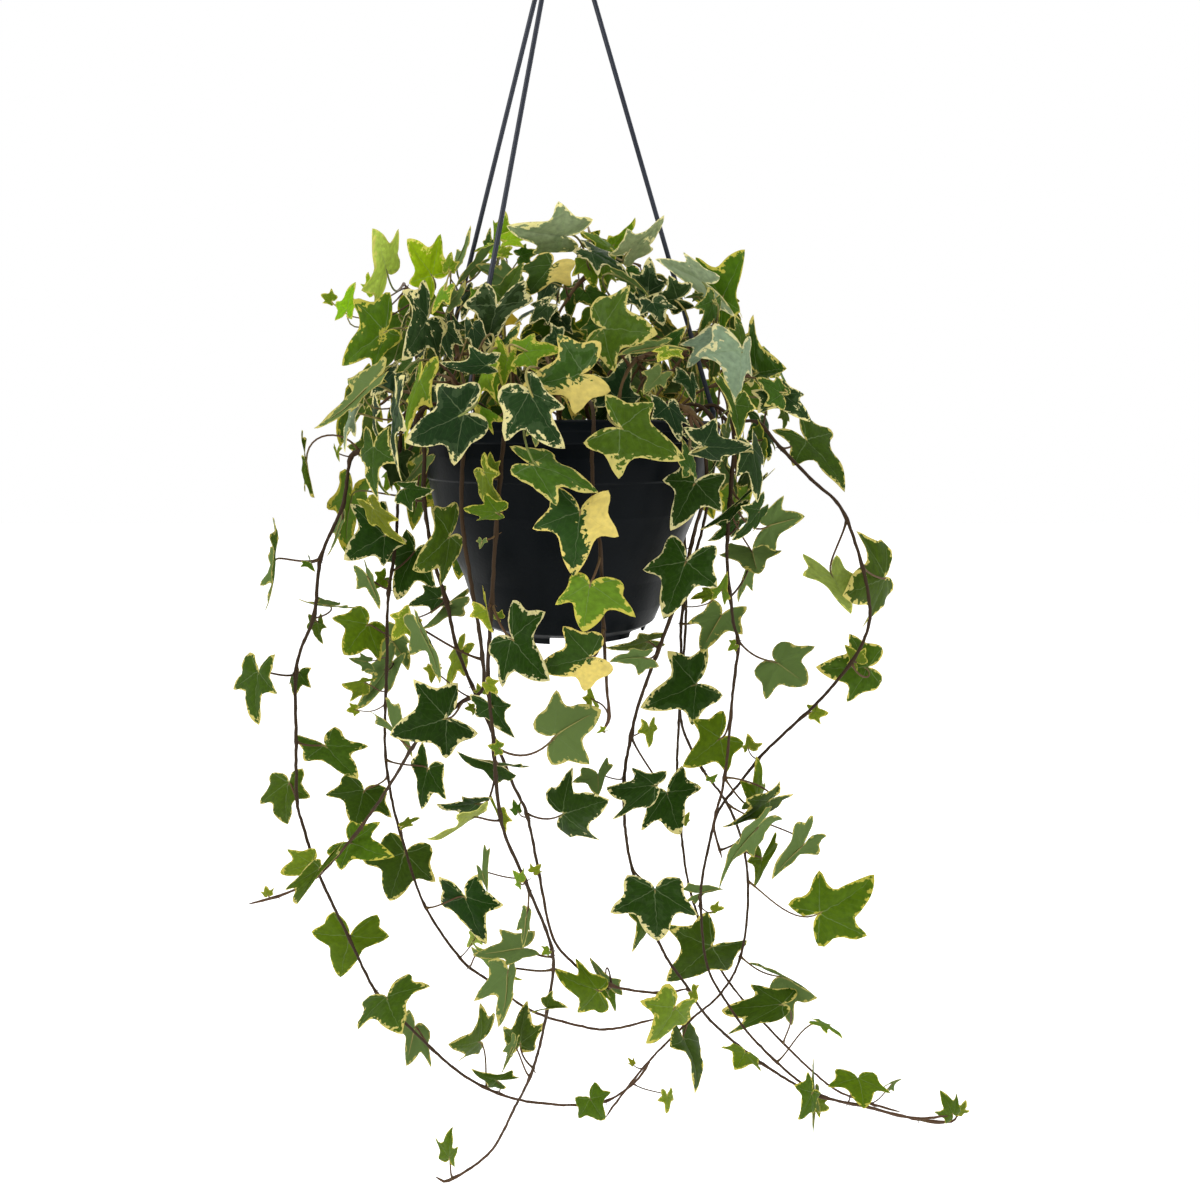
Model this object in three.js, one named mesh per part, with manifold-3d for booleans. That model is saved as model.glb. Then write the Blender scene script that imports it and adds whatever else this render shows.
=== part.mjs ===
// A trailing ivy in a hanging nursery pot, built as a scene graph of named meshes.
// Units are millimetres and +Z is up. The origin is the point inside the hook that bears on a rail.
import * as THREE from "three";
import { mergeVertices } from "three/addons/utils/BufferGeometryUtils.js";
import Module from "manifold-3d";

const wasm = await Module();
wasm.setup();
const { Manifold, Mesh } = wasm;
const { Vector3 } = THREE;

// Driving dimensions
const RIM_RADIUS = 95; // over the outside of the rim band
const WALL = 1.6; // moulded wall of the pot
const GAP = 0.3; // left between pieces that touch
const APEX_HEIGHT = 275; // from the rim's top to where the three strands meet
const HOOK_RADIUS = 12; // to the middle of the hook's rod
const ROD_RADIUS = 2.5; // of the hook's rod
const STRAND_RADIUS = 1.4;
const STRAND_ANGLES = [165, 236, 350]; // about the pot's axis, from +X
const HUB_HEIGHT = 12;
const SHANK = 34; // from the hub's top to the bearing point
const RIM_Z = -(SHANK + HUB_HEIGHT + APEX_HEIGHT); // the rim's top
const SOIL_DEPTH = 16; // of the potting mix's surface under the rim
const SOIL_Z = RIM_Z - SOIL_DEPTH;
const STEM_RADIUS = 1.5;
const PETIOLE_RADIUS = 0.9;
const SHORTEST_BLADE = 13; // a smaller blade is a bud, which the stem's solid leaves out

// The rim band hangs down around the pot from a flat flange
const BAND_DEPTH = 12.6;
const BAND_INSIDE = 93.4; // radius
const FLANGE = 2.6; // its thickness
const RIM_INSIDE = 86.4; // radius of the pot's mouth
// The pot's outer wall as [radius, height from the rim's top], from the flange down
const OUTER_WALL = [
  [88, -FLANGE],
  [88, -20],
  [86.6, -33],
  [85.4, -34],
  [82, -53],
  [74, -74],
  [66, -94],
  [61, -112],
  [56.6, -123],
  [51.5, -126.5],
];
// The pot's inside from the floor up, which the potting mix follows
const INNER_WALL = [
  [50.5, -124],
  [59.2, -112],
  [72.2, -74.5],
  [80.2, -53.5],
  [83.6, -35],
  [86.2, -18],
];
const FOOT_RADIUS = 50.5;
const FOOT_DEPTH = 130;
const FLOOR_DEPTH = 124;
const FLOOR_RADIUS = 48.5; // of the flat floor inside the foot ring
const DRAINS = { count: 6, turn: -88, radius: 5, ring: 30 };
const NOTCH = { width: 12, across: 21, height: 9 }; // in the foot ring, one beside each drain hole
const STRAND_HOLE_RADIUS = 1.9;

const radians = (degrees) => (degrees * Math.PI) / 180;
const clamp01 = (value) => Math.min(1, Math.max(0, value));

// The places of stems and leaves are read off a front view of the plant, FRAME steps wide and high.
// EYE is where that view is seen from, PITCH how far it looks down and FOCAL its depth in steps.
const FRAME = 1200;
const FOCAL = 850;
const PITCH = radians(11.2);
const EYE = new Vector3(21, -540, RIM_Z - 6);

// The point at step (across, down) of the front view that lies `depth` behind the pot's axis
function place(across, down, depth) {
  const right = (across - FRAME / 2) / FOCAL;
  const up = (FRAME / 2 - down) / FOCAL;
  const ray = new Vector3(
    right,
    Math.cos(PITCH) + up * Math.sin(PITCH),
    up * Math.cos(PITCH) - Math.sin(PITCH),
  );
  return ray.multiplyScalar((depth - EYE.y) / ray.y).add(EYE);
}

// How far behind the axis the crown's outer surface lies at a step of the front view
const CROWN = { middle: 575, halfWidth: 270, foot: 470, height: 260, back: 20, depth: 140 };
function crownDepth(across, down) {
  const side = Math.min(1, Math.abs(across - CROWN.middle) / CROWN.halfWidth);
  const rise = clamp01((CROWN.foot - down) / CROWN.height);
  const round = Math.sqrt(1 - side * side) * Math.cos((rise * Math.PI) / 2) ** 0.8;
  return CROWN.back - CROWN.depth * round;
}

// Materials
const material = (color, roughness) =>
  new THREE.MeshStandardMaterial({ color, roughness, metalness: 0 });
const potPlastic = material(0x15181d, 0.42);
const hangerPlastic = material(0x2b303c, 0.4);
const pottingMix = material(0x2a1d14, 0.95);
const ivy = material(0x3d5f3a, 0.5);

// Solids and meshes
function solidOf(geometry) {
  geometry.deleteAttribute("normal");
  geometry.deleteAttribute("uv");
  const merged = mergeVertices(geometry, 1e-4);
  return new Manifold(
    new Mesh({
      numProp: 3,
      vertProperties: new Float32Array(merged.attributes.position.array),
      triVerts: new Uint32Array(merged.index.array),
    }),
  );
}

function meshOf(solid, name, look) {
  const made = solid.getMesh();
  const geometry = new THREE.BufferGeometry();
  geometry.setAttribute("position", new THREE.BufferAttribute(made.vertProperties, 3));
  geometry.setIndex(new THREE.BufferAttribute(made.triVerts, 1));
  geometry.computeVertexNormals();
  const mesh = new THREE.Mesh(geometry, look);
  mesh.name = name;
  return mesh;
}

// A lathe about +Z from [radius, height] pairs that close on themselves or on the axis
function latheSolid(profile, segments) {
  const points = profile.map(([radius, height]) => new THREE.Vector2(radius, height));
  const geometry = new THREE.LatheGeometry(points, segments);
  geometry.rotateX(Math.PI / 2);
  return solidOf(geometry);
}

// A rod of `sides` flats along a curve
function rodSolid(curve, radius, sides, steps) {
  const section = new THREE.Shape();
  for (let i = 0; i < sides; i++) {
    const angle = (2 * Math.PI * i) / sides;
    section[i ? "lineTo" : "moveTo"](radius * Math.cos(angle), radius * Math.sin(angle));
  }
  return solidOf(new THREE.ExtrudeGeometry(section, { steps, extrudePath: curve }));
}

const smooth = (points) => new THREE.CatmullRomCurve3(points, false, "catmullrom", 0.5);

function upright(geometry, x, y, z) {
  return geometry.rotateX(Math.PI / 2).translate(x, y, z);
}

// Pot
function potSolid() {
  const band = [
    [RIM_RADIUS - 1.4, 0],
    [RIM_RADIUS, -1.2],
    [RIM_RADIUS - 0.4, 0.8 - BAND_DEPTH],
    [BAND_INSIDE + 0.1, -BAND_DEPTH],
    [BAND_INSIDE, -FLANGE],
  ];
  const foot = [
    [FOOT_RADIUS, -FOOT_DEPTH],
    [FOOT_RADIUS - WALL, -FOOT_DEPTH],
    [FLOOR_RADIUS, -FLOOR_DEPTH - WALL],
    [0, -FLOOR_DEPTH - WALL],
  ];
  const profile = [
    ...band,
    ...OUTER_WALL,
    ...foot,
    [0, -FLOOR_DEPTH],
    ...INNER_WALL,
    [RIM_INSIDE, 0],
  ];
  let pot = latheSolid([...profile, profile[0]].reverse(), 40);
  // Notches in the foot ring and drain holes in the floor
  for (let i = 0; i < DRAINS.count; i++) {
    const angle = radians((360 / DRAINS.count) * i + DRAINS.turn);
    const [x, y] = [Math.cos(angle), Math.sin(angle)];
    const notch = new THREE.BoxGeometry(NOTCH.width, NOTCH.across, NOTCH.height);
    notch.rotateZ(angle);
    notch.translate(FOOT_RADIUS * x, FOOT_RADIUS * y, -FOOT_DEPTH);
    pot = pot.subtract(solidOf(notch));
    const hole = new THREE.CylinderGeometry(DRAINS.radius, DRAINS.radius, 6 * WALL, 10);
    pot = pot.subtract(solidOf(upright(hole, DRAINS.ring * x, DRAINS.ring * y, -FLOOR_DEPTH)));
  }
  // Holes in the flange for the hanger's strands
  for (const degrees of STRAND_ANGLES) {
    const { x, y } = strandSeat(degrees);
    const hole = new THREE.CylinderGeometry(STRAND_HOLE_RADIUS, STRAND_HOLE_RADIUS, 4 * FLANGE, 8);
    pot = pot.subtract(solidOf(upright(hole, x, y, 0)));
  }
  return pot.translate([0, 0, RIM_Z]);
}

const SEAT_RADIUS = 90.7; // of the strand holes in the flange
function strandSeat(degrees) {
  const angle = radians(degrees);
  return new Vector3(SEAT_RADIUS * Math.cos(angle), SEAT_RADIUS * Math.sin(angle), RIM_Z);
}

// Potting mix, which fills the pot up to its surface
function soilSolid() {
  const side = INNER_WALL.map(([radius, height]) => [radius - 2 * GAP, height + GAP]);
  const top = [RIM_INSIDE - 1, -SOIL_DEPTH];
  const profile = [[0, GAP - FLOOR_DEPTH], ...side.slice(0, -1), top, [0, -SOIL_DEPTH]];
  return latheSolid(profile, 30).translate([0, 0, RIM_Z]);
}

// Hanger: hook, hub and three strands moulded in one piece, each strand ending in a barbed pin that
// snaps into a hole in the pot's flange
const PIN_TOP = 7; // above the rim's top
const PIN_LENGTH = 5; // below the flange
const BARB = { radius: 2.3, tip: 1.2, length: 3.5 };
const APEX_SPREAD = 4; // of the strands about the axis, in the hub
function strandCurve(degrees) {
  const seat = strandSeat(degrees);
  const out = seat.clone().setZ(0).normalize();
  const apex = out.multiplyScalar(APEX_SPREAD).setZ(RIM_Z + APEX_HEIGHT + 2);
  return new THREE.LineCurve3(apex, seat.add(new Vector3(0, 0, PIN_TOP - 2)));
}

// The hook's bow runs over the rail from behind the shank to its open end
const HOOK_BOW = { from: 190, to: -40, step: 23 }; // degrees
const ROOTED = 4; // how far the shank reaches into the hub
function hangerSolid() {
  const hubBase = RIM_Z + APEX_HEIGHT;
  const hub = [
    [0, 0],
    [6, 0],
    [8.5, 2],
    [8.5, 6],
    [5, HUB_HEIGHT],
    [0, HUB_HEIGHT],
  ];
  let hanger = latheSolid(hub, 16).translate([0, 0, hubBase]);
  const bow = [];
  const centre = -(HOOK_RADIUS - ROD_RADIUS);
  for (let degrees = HOOK_BOW.from; degrees >= HOOK_BOW.to; degrees -= HOOK_BOW.step) {
    const angle = radians(degrees);
    bow.push(new Vector3(HOOK_RADIUS * Math.cos(angle), 0, centre + HOOK_RADIUS * Math.sin(angle)));
  }
  const hook = smooth([
    new Vector3(0, 0, -SHANK - ROOTED),
    new Vector3(0, 0, ROOTED - SHANK),
    new Vector3(-6, 0, centre - HOOK_RADIUS - 1),
    ...bow,
  ]);
  hanger = hanger.add(rodSolid(hook, ROD_RADIUS, 6, 24));
  for (const degrees of STRAND_ANGLES) {
    const { x, y } = strandSeat(degrees);
    const under = -FLANGE - GAP;
    const pin = [
      [0, under - PIN_LENGTH],
      [BARB.tip, under - PIN_LENGTH],
      [BARB.radius, under - PIN_LENGTH + BARB.length],
      [BARB.radius, under],
      [STRAND_RADIUS, under],
      [STRAND_RADIUS, PIN_TOP],
      [0, PIN_TOP],
    ];
    hanger = hanger.add(rodSolid(strandCurve(degrees), STRAND_RADIUS, 8, 1));
    hanger = hanger.add(latheSolid(pin, 8).translate([x, y, RIM_Z]));
  }
  return hanger;
}

// Every stem: where it roots in the potting mix, at which angle a trailing one crosses the rim, and its
// route as steps across and down the front view with the depth behind the axis. Each leaf: its base,
// tip and two side lobes in the front view, how much deeper it lies than its place, and its look. The
// place is the crown's outer surface or, in a row that ends with a pair, that spot on the stem.
const SHOOTS = [
  {"name": "crown_shoot_01", "root": [-52, 20],
   "route": [[430, 395, 36], [415, 350, 38], [418, 305, 38], [404, 284, 38]],
   "leaves": [
    [[387, 272], [375, 230], [399, 229], [362, 291], 20, "pale"],
    [[432, 276], [406, 238], [440, 233], [408, 283], 28, "bright"],
    [[347, 311], [353, 281], [334, 301], [359, 298], 14, "bright"],
    [[332, 301], [320, 294], [331, 288], [322, 303], 8, "young"],
    [[386, 331], [340, 365], [352, 299], [372, 372], 10, "lit"],
    [[374, 292], [367, 272], [359, 284], [374, 280], 36, "bright"],
    [[430, 300], [448, 322], [420, 319], [448, 306], 58, "lit"]]},
  {"name": "crown_shoot_02", "root": [-34, -8],
   "route": [[470, 395, -20], [456, 345, -12], [452, 312, -6], [462, 284, 0]],
   "leaves": [
    [[428, 319], [405, 357], [441, 362], [404, 288], 0, "dark"],
    [[446, 288], [430, 313], [434, 294], [447, 304], -16, "young"],
    [[449, 269], [450, 251], [440, 261], [459, 261], 4, "young"],
    [[481, 262], [452, 285], [478, 249], [470, 279], 12, "under"],
    [[457, 264], [473, 227], [458, 250], [469, 248], 30, "under"],
    [[450, 303], [469, 283], [455, 286], [464, 303], -6, "under"],
    [[478, 299], [486, 284], [470, 287], [491, 289], 24, "lit"],
    [[446, 320], [462, 346], [434, 340], [468, 330], 52, "dark"],
    [[445, 328], [450, 362], [434, 344], [462, 346], 18, "dark"],
    [[472, 290], [458, 318], [456, 300], [482, 312], 60, "dark"]]},
  {"name": "crown_shoot_03", "root": [-16, 22],
   "route": [[508, 385, 20], [500, 335, 24], [500, 295, 28], [496, 262, 34]],
   "leaves": [
    [[497, 306], [484, 352], [462, 304], [533, 300], -6, "dark"],
    [[503, 299], [522, 261], [487, 285], [528, 292], 8, "mid"],
    [[512, 283], [478, 262], [502, 255], [484, 283], 26, "under"],
    [[502, 251], [474, 247], [487, 241], [488, 258], 18, "bright"],
    [[500, 238], [503, 209], [491, 219], [519, 222], 30, "bright"],
    [[506, 241], [535, 235], [515, 228], [524, 246], 22, "bright"],
    [[490, 246], [489, 227], [482, 241], [496, 240], 40, "mid"],
    [[502, 254], [512, 246], [503, 244], [513, 254], 8, "young"],
    [[520, 256], [539, 250], [526, 243], [533, 265], 34, "mid"]]},
  {"name": "crown_shoot_04", "root": [2, 12],
   "route": [[560, 385, 0], [552, 335, -6], [572, 292, -2], [598, 266, 2]],
   "leaves": [
    [[566, 236], [506, 229], [532, 259], [558, 206], -6, "silver"],
    [[552, 265], [526, 296], [515, 268], [570, 284], -6, "cream"],
    [[612, 250], [582, 229], [594, 229], [590, 249], 22, "lit"],
    [[590, 251], [632, 273], [612, 249], [600, 270], 10, "dark"],
    [[588, 262], [594, 286], [572, 274], [608, 283], 24, "lit"],
    [[548, 306], [528, 323], [530, 304], [548, 325], 14, "dark"],
    [[588, 240], [617, 246], [600, 231], [602, 256], 30, "lit", [580, 283]],
    [[600, 254], [634, 262], [614, 245], [618, 274], 44, "dark", [590, 274]],
    [[585, 290], [600, 312], [574, 304], [612, 298], 70, "mid"],
    [[560, 318], [552, 340], [543, 324], [573, 334], 66, "dark"],
    [[550, 282], [536, 314], [530, 290], [560, 304], 58, "dark"],
    [[572, 286], [568, 318], [556, 300], [586, 304], 78, "mid"],
    [[604, 264], [604, 296], [590, 276], [618, 282], 56, "lit"]]},
  {"name": "crown_shoot_05", "root": [22, 26],
   "route": [[612, 385, 26], [634, 335, 30], [648, 300, 34], [640, 266, 38]],
   "leaves": [
    [[612, 246], [637, 219], [609, 236], [638, 238], 28, "bright"],
    [[630, 250], [667, 218], [630, 232], [656, 253], 4, "silver"],
    [[648, 292], [650, 256], [630, 272], [668, 281], 16, "dark"],
    [[616, 274], [652, 293], [632, 274], [640, 291], -2, "under"],
    [[678, 299], [640, 302], [670, 277], [674, 317], 10, "dark"],
    [[700, 296], [684, 297], [692, 292], [692, 301], 6, "under"],
    [[640, 272], [630, 296], [614, 280], [650, 290], 30, "mid"],
    [[636, 296], [646, 316], [626, 304], [660, 302], 24, "dark"],
    [[652, 302], [663, 324], [640, 314], [678, 308], 16, "dark"],
    [[598, 322], [588, 344], [579, 330], [606, 340], 60, "mid"]]},
  {"name": "crown_shoot_06", "root": [40, 14],
   "route": [[662, 388, 14], [690, 345, 14], [706, 318, 16], [716, 296, 20]],
   "leaves": [
    [[706, 283], [656, 258], [685, 250], [712, 314], 10, "silver"],
    [[722, 299], [746, 248], [696, 256], [741, 311], 14, "lit"],
    [[714, 300], [702, 334], [696, 308], [718, 326], 6, "mid"],
    [[741, 345], [737, 313], [730, 327], [753, 338], 14, "mid"],
    [[715, 338], [688, 369], [682, 346], [710, 360], 26, "silver"],
    [[669, 344], [686, 327], [640, 342], [680, 358], 6, "mid"]]},
  {"name": "crown_shoot_07", "root": [54, -4],
   "route": [[690, 398, -10], [718, 384, -14], [745, 376, -6], [766, 372, 6]],
   "leaves": [
    [[742, 349], [737, 404], [697, 355], [754, 376], -6, "silver"],
    [[757, 372], [783, 371], [749, 317], [770, 384], 12, "mid"],
    [[782, 394], [757, 377], [776, 374], [764, 406], 8, "mid"],
    [[735, 405], [741, 438], [757, 408], [713, 377], -8, "mid"],
    [[783, 393], [812, 421], [758, 413], [805, 394], -2, "dark"]]},
  {"name": "crown_shoot_08", "root": [40, -44],
   "route": [[664, 404, -62], [684, 408, -80], [704, 426, -86], [716, 446, -88]],
   "leaves": [
    [[703, 446], [753, 450], [716, 423], [722, 467], -12, "dark"],
    [[752, 448], [762, 502], [738, 476], [767, 463], 18, "dark"],
    [[700, 440], [695, 416], [683, 434], [704, 428], 0, "dark"],
    [[690, 378], [695, 403], [672, 381], [700, 390], 14, "dark"],
    [[668, 406], [682, 441], [653, 418], [692, 425], -2, "dark"],
    [[690, 470], [684, 436], [676, 452], [698, 456], 16, "mid"]]},
  {"name": "crown_shoot_09", "root": [24, -54],
   "route": [[616, 412, -76], [622, 384, -84], [634, 362, -80], [652, 352, -70]],
   "leaves": [
    [[620, 428], [686, 459], [619, 478], [654, 401], -10, "mid"],
    [[603, 328], [656, 333], [627, 283], [612, 371], -12, "mid"],
    [[617, 398], [630, 353], [592, 374], [641, 397], 6, "dark"],
    [[610, 405], [592, 428], [590, 402], [609, 425], 16, "dark"],
    [[660, 346], [617, 352], [641, 338], [668, 354], -8, "under"],
    [[668, 350], [658, 360], [652, 350], [684, 358], 4, "young"],
    [[661, 374], [642, 394], [640, 372], [664, 388], 10, "under"]]},
  {"name": "crown_shoot_10", "root": [-2, -60],
   "route": [[560, 410, -82], [556, 384, -90], [548, 362, -84], [544, 346, -72]],
   "leaves": [
    [[583, 374], [520, 388], [558, 333], [575, 414], -24, "cream"],
    [[530, 392], [561, 450], [502, 442], [562, 408], -12, "dark"],
    [[566, 401], [581, 440], [562, 422], [574, 416], 10, "cream"],
    [[530, 424], [537, 447], [527, 436], [545, 437], 6, "under"],
    [[560, 340], [540, 343], [550, 322], [553, 351], 10, "dark"],
    [[532, 465], [600, 486], [557, 503], [553, 449], -8, "mid"]]},
  {"name": "crown_shoot_11", "root": [-26, -46],
   "route": [[516, 404, -62], [512, 378, -66], [512, 352, -56], [516, 332, -42]],
   "leaves": [
    [[524, 352], [563, 347], [534, 332], [537, 371], -14, "young"],
    [[508, 356], [502, 389], [486, 352], [516, 374], -4, "young"],
    [[506, 345], [519, 322], [497, 340], [523, 343], 9, "cream"],
    [[486, 366], [471, 409], [477, 384], [492, 398], -8, "young"],
    [[491, 370], [496, 408], [505, 382], [484, 392], 4, "lit"],
    [[480, 407], [505, 419], [492, 410], [494, 433], -6, "young"]]},
  {"name": "crown_shoot_12", "root": [-46, -38],
   "route": [[474, 408, -66], [464, 392, -70], [448, 378, -62], [430, 372, -48]],
   "leaves": [
    [[464, 414], [403, 442], [453, 466], [435, 383], -12, "dark"],
    [[486, 365], [440, 368], [469, 349], [466, 379], -6, "dark"],
    [[420, 378], [396, 446], [404, 400], [428, 405], -4, "young"],
    [[397, 401], [394, 481], [391, 428], [403, 430], -16, "dark"],
    [[411, 362], [395, 372], [398, 360], [410, 376], 14, "mid"],
    [[473, 326], [477, 358], [462, 338], [490, 345], 0, "dark"]]},
  {"name": "crown_shoot_13", "root": [-66, -12],
   "route": [[436, 412, -18], [418, 396, -16], [400, 392, -10], [380, 404, -4]],
   "leaves": [
    [[372, 383], [322, 435], [349, 380], [352, 412], -8, "under"],
    [[366, 384], [389, 362], [371, 372], [383, 378], -12, "mid"],
    [[353, 410], [340, 451], [344, 426], [353, 436], 0, "silver"],
    [[395, 372], [368, 394], [374, 371], [394, 400], 16, "dark"],
    [[374, 446], [371, 500], [354, 460], [391, 462], -4, "mid"]]},
  {"name": "trailing_vine_01", "root": [-74, 10], "over": 178,
   "route": [[398, 452, -2], [376, 456, -4], [352, 455, -4], [343, 505, -8],
    [321, 557, -12], [314, 616, -14], [297, 664, -16], [296, 735, -18], [297, 800, -18], [303, 825, -18], [318, 872, -16],
    [350, 940, -12], [376, 992, -8], [402, 1020, -4], [450, 1065, 2], [482, 1086, 6], [520, 1100, 10], [570, 1105, 14],
    [606, 1101, 18], [634, 1083, 20], [650, 1062, 20]],
   "leaves": [
    [[306, 461], [312, 498], [303, 439], [303, 492], -6, "mid", [352, 455]],
    [[337, 452], [338, 462], [333, 447], [342, 448], 0, "young", [350, 455]],
    [[383, 449], [365, 405], [345, 447], [390, 424], -16, "mid", [378, 456]],
    [[275, 558], [271, 611], [275, 538], [268, 586], -6, "under", [320, 558]],
    [[311, 563], [315, 572], [300, 567], [309, 556], -4, "mid", [319, 560]],
    [[341, 521], [330, 557], [342, 534], [334, 533], 6, "under", [342, 506]],
    [[331, 606], [298, 604], [318, 599], [346, 608], 10, "under", [315, 617]],
    [[318, 622], [320, 645], [304, 629], [324, 628], 10, "mid", [315, 617]],
    [[259, 671], [252, 726], [230, 689], [272, 694], -8, "mid", [296, 675]],
    [[299, 672], [292, 698], [286, 685], [309, 688], 10, "mid", [296, 670]],
    [[325, 745], [357, 780], [302, 762], [367, 748], 12, "mid", [298, 740]],
    [[289, 782], [282, 827], [254, 806], [304, 800], 10, "mid", [297, 800]],
    [[350, 935], [339, 980], [308, 937], [387, 942], 10, "lit", [350, 938]],
    [[387, 997], [397, 1031], [425, 982], [352, 1026], -10, "mid", [378, 993]],
    [[415, 1026], [407, 1063], [397, 1032], [432, 1066], 10, "under", [432, 1048]],
    [[480, 1041], [452, 1049], [483, 1006], [459, 1064], 8, "mid", [486, 1085]],
    [[497, 1080], [470, 1073], [512, 1073], [488, 1091], -8, "mid", [498, 1092]],
    [[590, 1098], [605, 1124], [578, 1121], [611, 1094], -8, "lit", [606, 1101]],
    [[633, 1064], [628, 1058], [628, 1064], [634, 1058], 0, "young", [646, 1070]]]},
  {"name": "trailing_vine_02", "root": [72, 8], "over": 4,
   "route": [[757, 422, 8], [780, 447, 6], [810, 478, 4], [841, 508, 2],
    [860, 558, 0], [869, 600, 0], [868, 628, 0], [853, 660, 2], [820, 700, 6], [790, 728, 8], [762, 755, 10], [742, 780, 14],
    [718, 812, 18], [708, 850, 20], [702, 880, 20], [701, 912, 20], [707, 965, 18], [727, 1003, 12], [760, 1046, 6],
    [815, 1092, 0], [870, 1108, -4], [905, 1117, -6], [948, 1122, -6], [957, 1116, -6]],
   "leaves": [
    [[806, 440], [851, 488], [838, 430], [798, 462], 4, "mid", [783, 449]],
    [[760, 420], [770, 461], [752, 440], [780, 450], 20, "dark", [762, 428]],
    [[784, 413], [785, 431], [779, 418], [791, 422], 22, "mid", [764, 430]],
    [[885, 577], [850, 596], [863, 531], [868, 629], 14, "mid", [864, 570]],
    [[832, 575], [853, 615], [804, 576], [858, 578], 10, "pale", [846, 516]],
    [[868, 667], [819, 670], [850, 634], [848, 703], 14, "mid", [853, 661]],
    [[856, 662], [845, 645], [866, 648], [847, 664], 4, "young", [852, 664]],
    [[812, 711], [829, 713], [821, 725], [818, 703], 2, "young", [803, 716]],
    [[748, 747], [748, 735], [742, 747], [763, 744], 6, "young", [758, 760]],
    [[700, 893], [723, 886], [688, 880], [695, 901], 10, "under", [701, 904]],
    [[713, 911], [725, 909], [719, 901], [715, 914], 4, "young", [701, 906]],
    [[818, 1022], [845, 1035], [832, 1024], [828, 1032], -4, "bright", [778, 1058]],
    [[858, 1078], [866, 1107], [828, 1087], [891, 1093], -10, "lit", [850, 1102]],
    [[953, 1114], [942, 1092], [935, 1113], [958, 1094], -4, "lit", [915, 1118]],
    [[957, 1112], [967, 1101], [957, 1102], [970, 1111], 4, "young", [957, 1116]]]},
  {"name": "trailing_vine_03", "root": [-24, -66], "over": -104,
   "route": [[503, 446, -110], [496, 530, -112], [492, 600, -112],
    [488, 676, -106], [493, 735, -100], [498, 800, -94], [505, 835, -90], [527, 885, -84], [552, 950, -76], [549, 1000, -70],
    [534, 1066, -64], [516, 1105, -60], [490, 1152, -56], [450, 1180, -54], [436, 1177, -54]],
   "leaves": [
    [[493, 470], [489, 452], [481, 463], [499, 461], -4, "young", [503, 474]],
    [[484, 471], [500, 509], [478, 505], [494, 476], -8, "young", [502, 476]],
    [[498, 512], [463, 510], [484, 497], [476, 524], -6, "lit", [500, 490]],
    [[482, 541], [480, 549], [476, 541], [488, 542], -2, "under", [494, 536]],
    [[487, 610], [492, 634], [469, 617], [484, 592], -8, "young", [491, 604]],
    [[499, 618], [490, 611], [493, 619], [502, 610], -4, "young", [493, 606]],
    [[512, 638], [545, 682], [500, 688], [543, 612], -6, "dark", [493, 604]],
    [[487, 683], [498, 694], [499, 681], [487, 695], -6, "young", [488, 676]],
    [[492, 705], [513, 740], [474, 719], [509, 707], 12, "dark", [488, 690]],
    [[500, 748], [487, 746], [496, 739], [494, 757], -8, "young", [495, 750]],
    [[555, 735], [602, 706], [557, 688], [590, 762], 6, "under", [497, 748]],
    [[495, 762], [455, 758], [521, 768], [496, 786], 12, "dark", [496, 755]],
    [[478, 803], [436, 808], [462, 797], [456, 820], 8, "dark", [492, 776]],
    [[474, 816], [430, 846], [458, 818], [450, 834], 4, "pale", [500, 818]],
    [[499, 814], [505, 836], [489, 798], [513, 822], 8, "young", [500, 812]],
    [[482, 871], [489, 893], [492, 847], [479, 880], 4, "under", [522, 878]],
    [[520, 882], [513, 872], [515, 886], [524, 868], -4, "young", [524, 880]],
    [[527, 914], [524, 948], [518, 930], [532, 932], 6, "under", [530, 890]],
    [[523, 948], [473, 957], [500, 931], [506, 968], 4, "under", [551, 954]],
    [[508, 970], [506, 1024], [481, 998], [520, 990], 12, "under", [551, 966]],
    [[549, 951], [542, 955], [541, 946], [548, 957], -4, "young", [552, 948]],
    [[547, 1008], [566, 1006], [551, 989], [531, 1012], -8, "mid", [547, 1014]],
    [[520, 1044], [525, 1003], [500, 1030], [545, 1024], 8, "mid", [534, 1068]],
    [[514, 1044], [503, 1074], [507, 1052], [516, 1056], -2, "under", [530, 1076]],
    [[450, 1158], [449, 1130], [434, 1138], [457, 1148], -4, "lit", [452, 1180]]]},
  {"name": "trailing_vine_04", "root": [-62, -34], "over": -141,
   "route": [[424, 448, -70], [424, 500, -72], [434, 560, -66],
    [446, 600, -66], [456, 645, -64], [473, 688, -60], [484, 712, -56], [500, 752, -50], [514, 786, -44], [527, 815, -40],
    [538, 868, -36], [552, 935, -40], [572, 962, -42], [592, 976, -42], [620, 988, -40], [660, 993, -38], [686, 989, -36]],
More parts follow.
